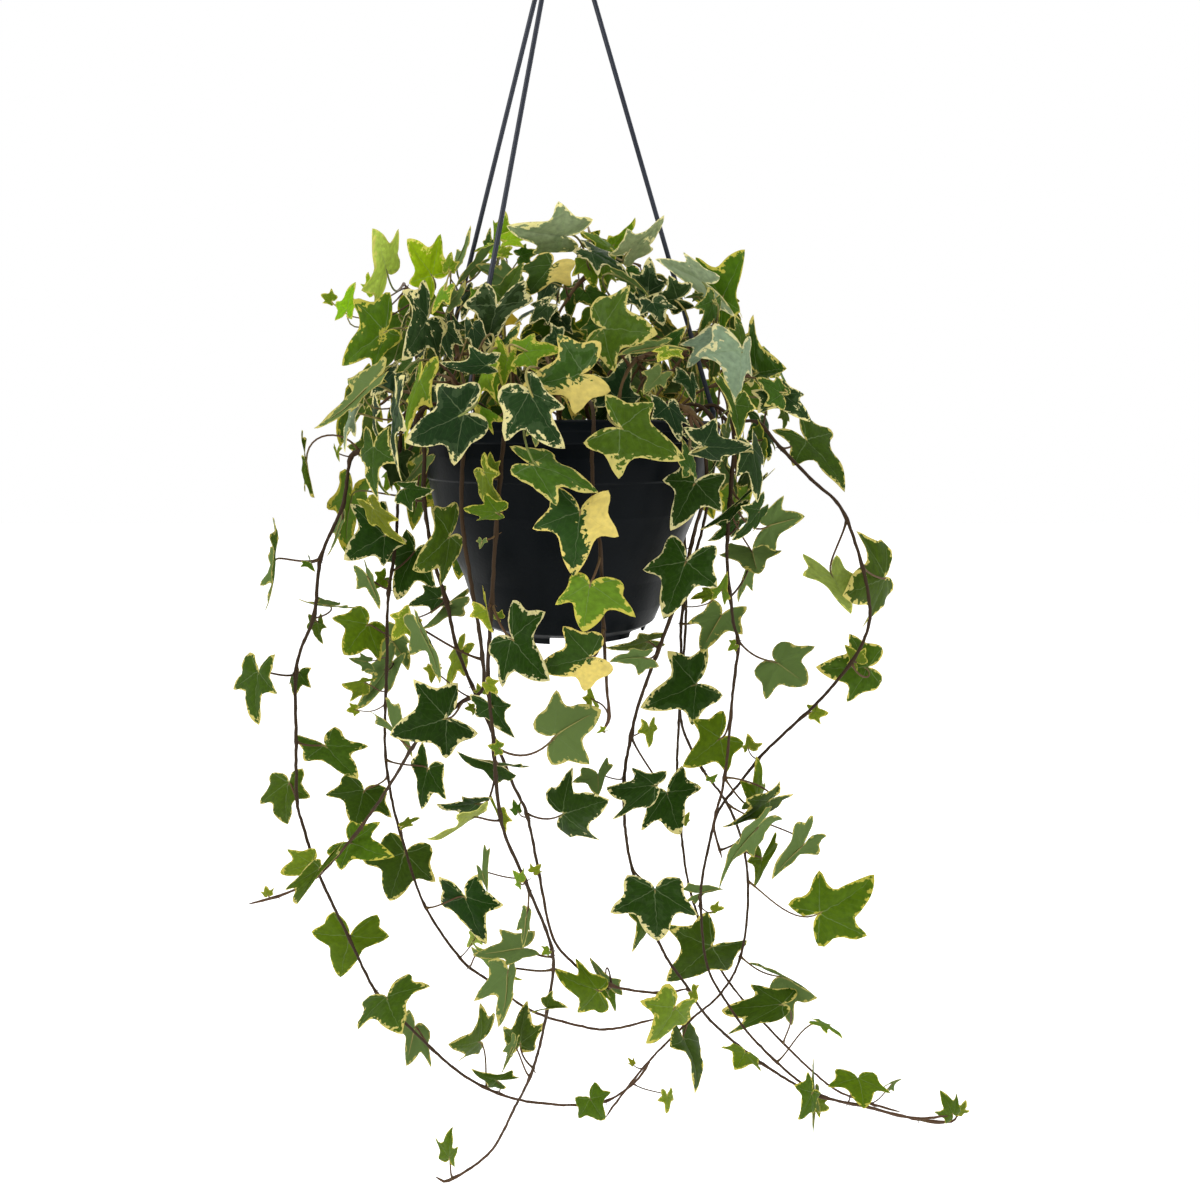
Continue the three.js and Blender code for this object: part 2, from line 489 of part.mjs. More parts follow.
   "leaves": [
    [[450, 536], [415, 571], [443, 587], [433, 507], -12, "mid", [430, 545]],
    [[425, 458], [407, 485], [413, 462], [426, 478], 4, "under", [427, 490]],
    [[404, 488], [433, 491], [417, 481], [412, 513], -12, "dark", [424, 500]],
    [[440, 598], [407, 605], [421, 583], [430, 612], 8, "dark", [445, 598]],
    [[447, 604], [424, 631], [463, 602], [464, 616], 12, "under", [446, 606]],
    [[410, 619], [390, 641], [388, 615], [412, 640], -4, "young", [446, 600]],
    [[462, 650], [442, 690], [448, 656], [464, 676], 4, "young", [458, 650]],
    [[480, 692], [477, 684], [473, 692], [488, 690], -4, "young", [474, 688]],
    [[474, 708], [465, 709], [467, 702], [473, 716], -2, "young", [484, 714]],
    [[518, 811], [513, 800], [508, 810], [520, 803], 2, "mid", [527, 817]],
    [[563, 813], [607, 802], [566, 773], [595, 846], -6, "dark", [527, 814]],
    [[534, 872], [541, 865], [530, 864], [543, 872], -6, "young", [538, 872]],
    [[598, 990], [554, 975], [576, 964], [578, 1018], -8, "lit", [604, 985]],
    [[606, 984], [588, 957], [597, 984], [618, 980], 8, "under", [612, 985]],
    [[607, 986], [619, 1012], [602, 999], [618, 990], 2, "lit", [610, 985]],
    [[675, 1007], [650, 1051], [643, 1007], [692, 1028], -6, "young", [660, 993]],
    [[692, 992], [698, 1000], [699, 985], [690, 1001], -4, "young", [686, 989]]]},
  {"name": "trailing_vine_05", "root": [-58, 36], "over": 150,
   "route": [[412, 446, 52], [400, 476, 52], [396, 540, 50], [388, 600, 46],
    [387, 660, 44], [385, 745, 42], [392, 800, 40], [402, 838, 38], [424, 904, 30], [460, 958, 24], [485, 978, 20],
    [530, 1010, 16], [580, 1026, 14], [612, 1029, 12], [655, 1019, 12]],
   "leaves": [
    [[396, 470], [382, 491], [379, 477], [397, 492], -8, "lit", [399, 478]],
    [[385, 535], [342, 561], [349, 504], [383, 567], -10, "dark", [395, 545]],
    [[373, 508], [400, 548], [372, 526], [398, 520], -22, "young", [396, 560]],
    [[415, 550], [393, 600], [382, 560], [432, 592], 8, "dark", [393, 570]],
    [[367, 575], [383, 608], [377, 578], [359, 588], 4, "under", [388, 590]],
    [[385, 578], [372, 590], [374, 572], [386, 590], 14, "lit", [389, 592]],
    [[368, 624], [343, 655], [331, 618], [380, 662], 4, "lit", [386, 632]],
    [[392, 662], [360, 711], [368, 672], [392, 696], 6, "under", [387, 670]],
    [[388, 634], [412, 668], [386, 660], [416, 640], 12, "under", [387, 640]],
    [[366, 682], [341, 684], [349, 703], [362, 678], 14, "young", [386, 690]],
    [[356, 709], [346, 711], [349, 703], [354, 717], 6, "young", [386, 705]],
    [[368, 662], [349, 659], [360, 653], [362, 672], 16, "under", [387, 660]],
    [[428, 768], [417, 812], [409, 763], [446, 800], -6, "dark", [387, 758]],
    [[364, 790], [354, 828], [325, 795], [392, 818], 8, "mid", [391, 776]],
    [[404, 826], [420, 817], [408, 815], [412, 824], -4, "young", [400, 830]],
    [[405, 853], [388, 904], [362, 862], [435, 884], 10, "mid", [402, 834]],
    [[465, 896], [484, 948], [437, 909], [501, 909], -4, "dark", [426, 907]],
    [[476, 934], [466, 948], [468, 932], [482, 946], 14, "pale", [462, 958]],
    [[480, 952], [520, 985], [500, 962], [498, 976], -14, "lit", [470, 964]]]},
  {"name": "trailing_vine_06", "root": [-36, -58], "over": -120,
   "route": [[463, 450, -94], [462, 520, -98], [474, 600, -96],
    [482, 652, -88], [482, 690, -80], [462, 702, -78], [436, 722, -74], [412, 748, -66], [393, 780, -56], [360, 828, -48],
    [322, 872, -42], [290, 892, -38], [249, 904, -36]],
   "leaves": [
    [[447, 718], [388, 738], [412, 681], [445, 762], -8, "dark", [462, 703]],
    [[393, 728], [416, 755], [403, 702], [377, 722], 12, "under", [412, 748]],
    [[434, 672], [431, 684], [422, 668], [442, 668], 2, "young", [470, 697]],
    [[420, 628], [447, 680], [438, 640], [419, 650], 12, "under", [482, 660]],
    [[351, 842], [388, 859], [379, 822], [339, 871], 10, "lit", [362, 826]],
    [[320, 868], [292, 909], [338, 855], [284, 890], -6, "mid", [322, 874]],
    [[312, 863], [278, 875], [286, 850], [304, 886], 10, "young", [318, 875]],
    [[268, 895], [265, 887], [260, 892], [274, 888], -2, "young", [276, 896]]]},
  {"name": "trailing_vine_07", "root": [18, -70], "over": -80,
   "route": [[592, 446, -108], [593, 490, -112], [600, 545, -112],
    [604, 640, -108], [607, 690, -104], [609, 718, -102], [603, 731, -100]],
   "leaves": [
    [[580, 511], [573, 578], [532, 529], [619, 537], -8, "cream", [594, 500]],
    [[590, 584], [583, 630], [555, 603], [636, 616], -8, "young", [601, 560]],
    [[590, 657], [537, 671], [563, 627], [585, 693], -8, "cream", [603, 625]],
    [[592, 700], [588, 682], [583, 698], [600, 706], -2, "young", [609, 716]],
    [[604, 731], [596, 734], [600, 726], [610, 730], -2, "young", [603, 731]]]},
  {"name": "trailing_vine_08", "root": [58, -40], "over": -36,
   "route": [[706, 446, -66], [706, 490, -64], [695, 530, -56], [680, 590, -50],
    [662, 640, -46], [640, 700, -42], [632, 732, -40], [624, 785, -38], [630, 860, -36], [660, 945, -36], [686, 985, -32],
    [710, 1020, -26], [760, 1062, -18], [815, 1094, -20], [865, 1106, -24], [915, 1118, -26], [948, 1116, -26]],
   "leaves": [
    [[695, 482], [671, 531], [663, 480], [723, 512], -12, "dark", [704, 500]],
    [[686, 561], [664, 620], [643, 570], [718, 588], -10, "dark", [690, 548]],
    [[648, 641], [606, 652], [640, 636], [642, 657], 6, "mid", [660, 646]],
    [[644, 657], [609, 658], [628, 645], [638, 672], -8, "under", [656, 656]],
    [[649, 727], [651, 749], [639, 733], [659, 729], -6, "young", [632, 736]],
    [[655, 785], [607, 790], [632, 768], [612, 820], -8, "dark", [631, 736]],
    [[598, 774], [599, 797], [573, 783], [614, 766], 8, "under", [624, 782]],
    [[655, 889], [657, 943], [610, 914], [698, 916], -8, "dark", [632, 868]],
    [[648, 915], [635, 955], [631, 916], [652, 930], 6, "mid", [654, 936]],
    [[745, 1053], [738, 1066], [722, 1046], [762, 1070], -8, "lit", [765, 1066]],
    [[812, 1092], [800, 1123], [796, 1088], [815, 1119], -8, "lit", [818, 1096]],
    [[815, 1096], [812, 1133], [810, 1064], [818, 1110], 2, "under", [822, 1097]],
    [[816, 1101], [830, 1110], [820, 1119], [828, 1100], 8, "young", [826, 1098]]]},
  {"name": "trailing_vine_09", "root": [64, 30], "over": 34,
   "route": [[714, 446, 58], [712, 480, 60], [702, 530, 58], [694, 560, 56],
    [682, 615, 54], [681, 660, 52], [681, 720, 52], [700, 765, 54], [728, 805, 52], [744, 850, 50], [748, 900, 48],
    [741, 955, 44], [722, 992, 40], [688, 1022, 36], [650, 1060, 32], [618, 1100, 28], [606, 1117, 28]],
   "leaves": [
    [[722, 614], [700, 651], [687, 622], [742, 634], -10, "under", [682, 622]],
    [[712, 595], [690, 598], [702, 586], [701, 603], -22, "young", [684, 608]],
    [[696, 684], [641, 710], [668, 652], [693, 727], -14, "dark", [682, 660]],
    [[712, 780], [718, 774], [706, 776], [716, 782], -4, "young", [704, 768]],
    [[802, 846], [769, 876], [793, 820], [815, 851], -4, "under", [727, 803]],
    [[762, 858], [757, 891], [780, 846], [748, 862], 8, "lit", [744, 850]],
    [[819, 913], [878, 882], [820, 872], [868, 938], -6, "lit", [746, 882]],
    [[781, 976], [820, 992], [758, 965], [792, 1026], 4, "under", [742, 956]],
    [[683, 1038], [707, 1093], [708, 1043], [678, 1046], -10, "mid", [688, 1022]],
    [[667, 1095], [668, 1115], [661, 1103], [677, 1100], -4, "young", [634, 1082]]]},
  {"name": "trailing_vine_10", "root": [70, -20], "over": -16,
   "route": [[734, 446, -30], [730, 500, -30], [727, 560, -26], [733, 620, -24],
    [738, 645, -24], [732, 700, -24], [727, 760, -22], [721, 795, -20], [714, 825, -18], [722, 858, -16]],
   "leaves": [
    [[737, 504], [701, 532], [768, 473], [728, 524], -12, "dark", [729, 520]],
    [[738, 520], [710, 544], [715, 524], [732, 538], 6, "dark", [728, 536]],
    [[767, 526], [804, 516], [783, 495], [775, 551], 8, "under", [729, 500]],
    [[752, 551], [758, 577], [781, 557], [718, 561], 12, "under", [729, 510]],
    [[722, 590], [728, 572], [711, 590], [731, 599], -8, "young", [730, 590]],
    [[748, 568], [735, 601], [740, 578], [750, 590], 2, "under", [731, 600]],
    [[775, 661], [808, 685], [816, 647], [767, 700], 6, "under", [738, 642]],
    [[735, 645], [728, 651], [729, 640], [736, 652], -2, "young", [738, 648]],
    [[720, 738], [684, 770], [728, 774], [694, 721], 10, "lit", [729, 714]],
    [[756, 800], [763, 759], [744, 782], [768, 784], 10, "lit", [725, 776]],
    [[770, 800], [725, 833], [746, 800], [768, 816], -4, "mid", [725, 778]],
    [[758, 826], [710, 880], [732, 837], [750, 853], 4, "under", [720, 850]]]},
  {"name": "trailing_vine_11", "root": [44, 52], "over": 60,
   "route": [[668, 446, 84], [682, 500, 86], [686, 610, 84], [680, 700, 80],
    [677, 775, 78], [681, 830, 76], [690, 890, 72], [712, 952, 66], [735, 990, 60], [785, 1045, 50], [830, 1086, 40],
    [860, 1100, 34], [900, 1112, 28]],
   "leaves": [
    [[667, 792], [680, 836], [641, 831], [702, 788], -14, "dark", [677, 790]],
    [[684, 823], [690, 812], [680, 814], [692, 820], -4, "young", [681, 828]],
    [[712, 946], [667, 986], [667, 931], [731, 978], -10, "mid", [700, 918]],
    [[783, 1004], [722, 1010], [752, 984], [728, 1035], -8, "mid", [784, 1044]],
    [[892, 1083], [901, 1077], [885, 1084], [893, 1090], -4, "under", [872, 1104]]]},
];

// A stem's points: out of the potting mix, over the rim where it trails, and on along its route
const OVER_RIM = [
  [80, 5],
  [92, 9],
  [103, 0],
];
const SHOOT_RISE = 8; // straight up out of the potting mix
function stemPoints({ root, over, route }) {
  const [x, y] = root;
  const points = [new Vector3(x, y, SOIL_Z + GAP), new Vector3(x, y, SOIL_Z + SHOOT_RISE)];
  if (over !== undefined) {
    const angle = radians(over);
    OVER_RIM.forEach(([radius, height]) =>
      points.push(new Vector3(radius * Math.cos(angle), radius * Math.sin(angle), RIM_Z + height)),
    );
  }
  return [...points, ...route.map(([across, down, depth]) => place(across, down, depth))];
}

// A stem is drawn in straight steps; points every BEAD_STEP along them stand for it
const STEM_STEP = 24;
const BEAD_STEP = 2.5;
function chordPoints(curve, steps) {
  const corners = curve.getSpacedPoints(steps);
  const points = [corners[0]];
  for (let i = 1; i < corners.length; i++) {
    const parts = Math.ceil(corners[i].distanceTo(corners[i - 1]) / BEAD_STEP);
    for (let k = 1; k <= parts; k++) {
      points.push(corners[i - 1].clone().lerp(corners[i], k / parts));
    }
  }
  return points;
}

// A blade spans from its base to its tip and to the tips of its two side lobes.
// One seen narrow or short in the front view is turned until its lobes have their true proportion.
const LOBE_SPAN = 1.15; // between the side lobes, for each unit of length
const SHORT_SPAN = 0.66;
const TURN_SHARE = 0.8;
function seenBlade(row, depth) {
  const [base, tip, first, second, , tone] = row;
  const at = ([across, down], behind) => place(across, down, behind);
  const length = at(base, depth).distanceTo(at(tip, depth));
  const span = at(first, depth).distanceTo(at(second, depth));
  const wide = Math.sqrt(Math.max(0, (LOBE_SPAN * length) ** 2 - span ** 2));
  const turn = (TURN_SHARE * Math.min(wide, 0.9 * length)) / 2;
  const outer = base[0] < CROWN.middle ? first[0] < second[0] : first[0] > second[0];
  const short = Math.sqrt(Math.max(0, (SHORT_SPAN * span) ** 2 - length ** 2));
  const points = {
    base: at(base, depth),
    tip: at(tip, depth - TURN_SHARE * short - 0.06 * length),
    left: at(first, depth + (outer ? turn : -turn)),
    right: at(second, depth + (outer ? -turn : turn)),
  };
  return facing(points, tone === "under" ? -1 : 1);
}

// Swaps the side lobes where needed, so that the upper surface faces the viewer or, with -1, away
function facing(points, side) {
  const normal = bladeNormal(points);
  const view = EYE.clone().sub(points.base);
  if (Math.sign(normal.dot(view)) !== side) {
    [points.left, points.right] = [points.right, points.left];
  }
  return points;
}

function bladeNormal({ base, tip, left, right }) {
  const along = tip.clone().sub(base);
  return right.clone().sub(left).cross(along).normalize();
}

// Halfway between the upper sides of both halves, so that even a blade folded sharply along its
// midrib has its thickness on the right side of each half
function foldNormal({ base, tip, left, right }) {
  const along = tip.clone().sub(base);
  const rightSide = right.clone().sub(base).cross(along).normalize();
  const leftSide = along.cross(left.clone().sub(base)).normalize();
  return rightSide.add(leftSide).normalize();
}

// The outline of one half, as shares of the way from the base to the tip and to that half's lobe
const HALF_OUTLINE = [
  [-0.44, 0.52],
  [0, 1],
  [0.28, 0.4],
];
const HUB_SHARE = 0.3; // the place on the midrib from which the main veins spread

function bladePoint({ base, tip, left, right }, side, along, across) {
  const lobe = side > 0 ? right : left;
  return base
    .clone()
    .addScaledVector(tip.clone().sub(base), along)
    .addScaledVector(lobe.clone().sub(base), across);
}

function bladeRim(points) {
  const right = HALF_OUTLINE.map(([along, across]) => bladePoint(points, 1, along, across));
  const left = HALF_OUTLINE.map(([along, across]) => bladePoint(points, -1, along, across));
  return [...right, points.tip.clone(), ...left.reverse()];
}

// Points on spokes from the hub to the rim, which stand for the blade where neighbours must keep clear
const SPOKE_STEP = 6;
const RIM_STEP = 10;
function bladeBeads(points) {
  const hub = bladePoint(points, 1, HUB_SHARE, 0);
  const rim = [points.base, ...bladeRim(points)];
  const beads = [hub];
  rim.forEach((corner, i) => {
    const next = rim[(i + 1) % rim.length];
    const spokes = Math.ceil(corner.distanceTo(next) / RIM_STEP);
    for (let j = 0; j < spokes; j++) {
      const end = corner.clone().lerp(next, j / spokes);
      const parts = Math.ceil(end.distanceTo(hub) / SPOKE_STEP);
      for (let k = 1; k <= parts; k++) beads.push(hub.clone().lerp(end, k / parts));
    }
  });
  return beads;
}

// A leaf is one closed skin: a three-sided petiole that opens at the blade's base into a thin lens
// over the blade's outline, thickest at the hub on the midrib
const BLADE_THICKNESS = 1;
function leafSolid(petiole, points, steps) {
  const along = points.tip.clone().sub(points.base).normalize();
  const normal = foldNormal(points);
  const centres = petiole.getPoints(steps);
  const rings = [];
  const ways = centres.slice(1).map((centre, i) => centre.clone().sub(centres[i]).normalize());
  ways.push(along);
  let aside = along.clone().cross(normal);
  for (let i = steps; i >= 0; i--) {
    const forward = i === 0 ? ways[0] : ways[i].clone().add(ways[i - 1]).normalize();
    aside = aside.addScaledVector(forward, -aside.dot(forward)).normalize().clone();
    const up = aside.clone().cross(forward);
    rings.unshift(
      [90, -30, 210].map((degrees) =>
        centres[i]
          .clone()
          .addScaledVector(up, PETIOLE_RADIUS * Math.sin(radians(degrees)))
          .addScaledVector(aside, PETIOLE_RADIUS * Math.cos(radians(degrees))),
      ),
    );
  }
  const corners = rings.flat();
  const faces = [0, 2, 1];
  for (let i = 0; i < steps; i++) {
    for (let k = 0; k < 3; k++) {
      const [a, b] = [3 * i + k, 3 * i + ((k + 1) % 3)];
      faces.push(a, b, b + 3, a, b + 3, a + 3);
    }
  }
  // The last ring's corners: upper, right below and left below
  const [upper, right, left] = [3 * steps, 3 * steps + 1, 3 * steps + 2];
  const rim = bladeRim(points);
  const hub = bladePoint(points, 1, HUB_SHARE, 0);
  const first = corners.length;
  const last = first + rim.length - 1;
  const [top, bottom] = [last + 1, last + 2];
  corners.push(
    ...rim,
    hub.clone().addScaledVector(normal, BLADE_THICKNESS / 2),
    hub.clone().addScaledVector(normal, -BLADE_THICKNESS / 2),
  );
  for (let i = first; i < last; i++) faces.push(top, i, i + 1, bottom, i + 1, i);
  faces.push(top, upper, first, upper, right, first, bottom, first, right);
  faces.push(top, last, upper, upper, last, left, bottom, left, last);
  faces.push(bottom, right, left);
  const geometry = new THREE.BufferGeometry().setFromPoints(corners);
  geometry.setIndex(faces);
  return solidOf(geometry);
}

// How near a point comes to the pot: below 0 it is inside the wall or the rim band
const POT_ROOM = { rim: 86, mouth: 84, overSoil: 3, underBand: 2 };
function potRoom(point) {
  const height = point.z - RIM_Z;
  const radius = Math.hypot(point.x, point.y);
  if (height > 0) return Math.hypot(height, Math.max(0, POT_ROOM.rim - radius));
  if (height < -FOOT_DEPTH) return Math.hypot(height + FOOT_DEPTH, Math.max(0, radius - FOOT_RADIUS));
  if (radius < POT_ROOM.mouth && height > POT_ROOM.overSoil - SOIL_DEPTH) return POT_ROOM.mouth - radius;
  if (height > -BAND_DEPTH - POT_ROOM.underBand) return radius - RIM_RADIUS;
  const below = OUTER_WALL.findIndex(([, level]) => level < height);
  const wall = below < 1 ? FOOT_RADIUS : OUTER_WALL[below - 1][0];
  return radius - wall;
}

const CLEAR = { bladeBlade: 5, bladeStem: 4.6, bladePot: 2, rodBlade: 4.4, rodRod: 3, rodPot: 2.4 };

// Points kept in cubic cells, so that those near a place are found quickly
const CELL = 6; // wider than every clearance
const cellOf = (value) => Math.floor(value / CELL) + 512;
const keyOf = (x, y, z) => (x * 1024 + y) * 1024 + z;
class PointStore {
  cells = new Map();

  add(points, owner) {
    for (const point of points) {
      const key = keyOf(cellOf(point.x), cellOf(point.y), cellOf(point.z));
      if (!this.cells.has(key)) this.cells.set(key, []);
      this.cells.get(key).push({ point, owner });
    }
  }

  isNear(point, reach, except) {
    const [x, y, z] = [cellOf(point.x), cellOf(point.y), cellOf(point.z)];
    for (let i = x - 1; i <= x + 1; i++) {
      for (let j = y - 1; j <= y + 1; j++) {
        for (let k = z - 1; k <= z + 1; k++) {
          for (const { point: other, owner } of this.cells.get(keyOf(i, j, k)) ?? []) {
            if (owner === except || owner.dropped) continue;
            if (point.distanceTo(other) < reach) return true;
          }
        }
      }
    }
    return false;
  }
}

// How many of the points come too near to those in a store, leaving out one owner's
function clashes(points, store, reach, except) {
  return points.filter((point) => store.isNear(point, reach, except)).length;
}

// Stems for the unseen back of the crown and under it, each with leaves to both sides.
// They spread over these angles in degrees, sway sideways and rise or sink a little at each point.
const BACK = { shoots: 8, from: 24, to: 149, sway: 3, rise: 2 };
const BACK_ROOTS = { crown: 38, over: 66 };
const BACK_STEM = [
  [56, 30],
  [84, 46],
  [112, 22],
  [124, -18],
  [126, -52],
];
const BACK_VINES = [66, 94, 121];
const BACK_VINE_STEM = [
  [108, -20],
  [104, -52],
  [100, -84],
];
// Where the leaves stand, as shares of the stem
const CROWN_SHARES = [0.36, 0.48, 0.6, 0.72, 0.84, 0.98];
const OVER_SHARES = [0.52, 0.66, 0.8, 0.98];
const BACK_LEAF = { aside: 15, lift: 13, length: 38, vary: 7, middle: 0.33, halfWidth: 0.74 };
const PETIOLE_BEFORE = 0.03; // the share of the stem between petiole and leaf

function backShoot(name, degrees, stem, over, wobble) {
  const angle = radians(degrees);
  const out = new Vector3(Math.cos(angle), Math.sin(angle), 0);
  const aside = new Vector3(-Math.sin(angle), Math.cos(angle), 0);
  const rootRadius = over ? BACK_ROOTS.over : BACK_ROOTS.crown;
  const points = stemPoints({
    root: [out.x * rootRadius, out.y * rootRadius],
    over: over ? degrees : undefined,
    route: [],
  });
  stem.forEach(([radius, height], i) =>
    points.push(
      out
        .clone()
        .multiplyScalar(radius)
        .addScaledVector(aside, BACK.sway * wobble * (i % 2 ? 1 : -1))
        .setZ(RIM_Z + height + BACK.rise * wobble * i),
    ),
  );
  return { name, points, degrees, wobble, shares: over ? OVER_SHARES : CROWN_SHARES };
}

// A leaf of such a shoot, facing outwards and more and more upwards nearer the crown's top
function backBlade(shoot, curve, index, shift) {
  const share = shoot.shares[index];
  const angle = radians(shoot.degrees);
  const out = new Vector3(Math.cos(angle), Math.sin(angle), 0);
  const side = index % 2 ? 1 : -1;
  const aside = new Vector3(-Math.sin(angle), Math.cos(angle), 0).multiplyScalar(side);
  const rise = clamp01(1.3 - share * 1.3) * 1.3;
  const normal = out.clone().addScaledVector(aside, 0.3).setZ(rise + 0.15).normalize();
  const drop = new Vector3(0, 0, -1).addScaledVector(aside, 0.5 + 0.3 * shoot.wobble);
  const along = drop.addScaledVector(normal, -drop.dot(normal)).normalize();
  const across = along.clone().cross(normal).normalize();
  const length = BACK_LEAF.length + BACK_LEAF.vary * Math.sin(5 * share + 3 * shoot.wobble);
  const base = curve
    .getPoint(share)
    .addScaledVector(aside, BACK_LEAF.aside)
    .addScaledVector(normal, BACK_LEAF.lift + shift);
  const middle = base.clone().addScaledVector(along, BACK_LEAF.middle * length);
  const lobe = (way) => middle.clone().addScaledVector(across, way * BACK_LEAF.halfWidth * length);
  return { base, tip: base.clone().addScaledVector(along, length), left: lobe(-1), right: lobe(1) };
}

// A stem's curve and the straight steps that it is drawn in
function stemOf(points) {
  const curve = smooth(points);
  const steps = Math.ceil(curve.getLength() / STEM_STEP);
  return { curve, steps, chord: chordPoints(curve, steps) };
}

// All shoots as curves with their leaves, each leaf as a function of how far it is moved
function gatherShoots() {
  const shoots = SHOOTS.map((shoot) => {
    const stem = stemOf(stemPoints(shoot));
    const leaves = shoot.leaves.map((row) => {
      const [base, , , , offset, , attach] = row;
      const start = attach ? nearestSeen(stem.chord, attach) : null;
      const depth = (start ? start.y : crownDepth(...base)) + offset;
      return { row, start, pose: (shift) => seenBlade(row, depth + shift) };
    });
    return { name: shoot.name, ...stem, leaves };
  });
  const spread = (BACK.to - BACK.from) / (BACK.shoots - 1);
  const back = Array.from({ length: BACK.shoots }, (_, i) =>
    backShoot(`crown_shoot_${14 + i}`, BACK.from + spread * i, BACK_STEM, false, Math.sin(2.4 * i)),
  );
  BACK_VINES.forEach((degrees, i) =>
    back.push(backShoot(`trailing_vine_${12 + i}`, degrees, BACK_VINE_STEM, true, Math.cos(2.1 * i))),
  );
  back.forEach((shoot) => {
    const stem = stemOf(shoot.points);
    const leaves = shoot.shares.map((share, i) => ({
      start: stem.chord[Math.round((share - PETIOLE_BEFORE) * (stem.chord.length - 1))],
      pose: (shift) => backBlade(shoot, stem.curve, i, -shift),
    }));
    shoots.push({ name: shoot.name, ...stem, leaves });
  });
  return shoots;
}

// The sample of a stem that the front view shows nearest to a step
function nearestSeen(samples, [across, down]) {
  const seen = samples.map((sample) => {
    const way = place(across, down, sample.y);
    return way.distanceTo(sample);
  });
  return samples[seen.indexOf(Math.min(...seen))].clone();
}

// Leaves find room between their neighbours by moving a little nearer to the viewer or away.
// One of the unseen back that finds none is left out.
const SHIFTS = [0, 4, -4, 8, -8, 12, -12, 16, -16, 20, -20, 25, -25, 30, 36, 42];
const room = { rods: new PointStore(), blades: new PointStore(), petioles: new PointStore() };

function settleLeaf(leaf, shifts) {
  leaf.crowded = Infinity;
  for (const shift of shifts) {
    const points = leaf.pose(shift);
    const beads = bladeBeads(points);
    const count =
      clashes(beads, room.blades, CLEAR.bladeBlade) +
      clashes(beads, room.rods, CLEAR.bladeStem) +
      clashes(beads, room.petioles, CLEAR.rodBlade) +
      beads.filter((bead) => potRoom(bead) < CLEAR.bladePot).length;
    if (count < leaf.crowded) {
      leaf.crowded = count;
      leaf.points = points;
      leaf.beads = beads;
    }
    if (!count) break;
  }
  leaf.size = leaf.points.base.distanceTo(leaf.points.tip);
}

// A petiole leaves the stem, bows to one of these sides and meets the blade from behind. These are
// shares of its span, but for `tuck`, the most in millimetres that it runs on into the blade.
const PETIOLE = { leave: 0.3, meet: 0.3, bow: 0.4, late: 0.6, inside: 0.08, tuck: 2 };
const BOWS = [];
for (const reach of [0, 0.35, -0.35, 0.7, -0.7, 1.1, -1.1]) {
  for (const height of [0, 0.4, -0.4, 0.8, -0.8, 1.3, 1.9]) BOWS.push([reach, height]);
}
function petioleCurve(start, { base, tip }, [reach, height]) {
  const span = start.distanceTo(base);
  const along = tip.clone().sub(base).normalize();
  const inside = base.clone().addScaledVector(along, Math.min(PETIOLE.tuck, PETIOLE.inside * span));
  const bow = new Vector3(0, reach, height).multiplyScalar(PETIOLE.bow * span);
  const leave = start.clone().lerp(base, PETIOLE.leave).add(bow);
  const meet = base.clone().addScaledVector(along, -PETIOLE.meet * span);
  return new THREE.CubicBezierCurve3(start, leave, meet.addScaledVector(bow, PETIOLE.late), inside);
}

// A petiole of the crown starts on the part of the stem that is clear of the rim
const SHORTEST_PETIOLE = 10;
const START_HEIGHT = 4; // over the rim
function nearestStart(stem, base) {
  const free = stem.filter(({ z }) => z > RIM_Z + START_HEIGHT);
  const misses = free.map((point) => Math.abs(point.distanceTo(base) - SHORTEST_PETIOLE));
  return free[misses.indexOf(Math.min(...misses))].clone();
}

const ROOT_REACH = 4; // from the stem, where the petiole may touch its own neighbours
function routePetiole(leaf, shoot) {
  const start = leaf.start ?? nearestStart(shoot.chord, leaf.points.base);
  leaf.crossed = Infinity;
  for (const bow of BOWS) {
    const curve = petioleCurve(start, leaf.points, bow);
    const beads = chordPoints(curve, petioleSteps(curve));
    const free = beads.filter((bead) => bead.distanceTo(start) > ROOT_REACH);
    const count =
      clashes(free, room.blades, CLEAR.rodBlade, leaf) +
      clashes(beads, room.rods, CLEAR.rodRod, shoot) +
      clashes(free, room.petioles, CLEAR.rodRod) +
      free.filter((bead) => potRoom(bead) < CLEAR.rodPot).length;
    if (count < leaf.crossed) {
      leaf.crossed = count;
      leaf.petiole = curve;
      leaf.petioleBeads = beads;
    }
    if (!count) break;
  }
}

// Lets every leaf settle first and then grow its petiole
function growLeaves(shoots) {
  const drop = (leaf, fault) => {
    leaf.dropped = !leaf.row && fault > 0;
    return !leaf.dropped;
  };
  for (const shoot of shoots) {
    shoot.leaves = shoot.leaves.filter((leaf) => {
      settleLeaf(leaf, SHIFTS);
      if (drop(leaf, leaf.crowded)) room.blades.add(leaf.beads, leaf);
      return !leaf.dropped;
    });
  }
  for (const shoot of shoots) {
    shoot.leaves.forEach((leaf) => {
      routePetiole(leaf, shoot);
      if (leaf.row || !leaf.crossed) room.petioles.add(leaf.petioleBeads, leaf);
    });
    shoot.leaves = shoot.leaves.filter((leaf) => drop(leaf, leaf.crossed));
  }
}

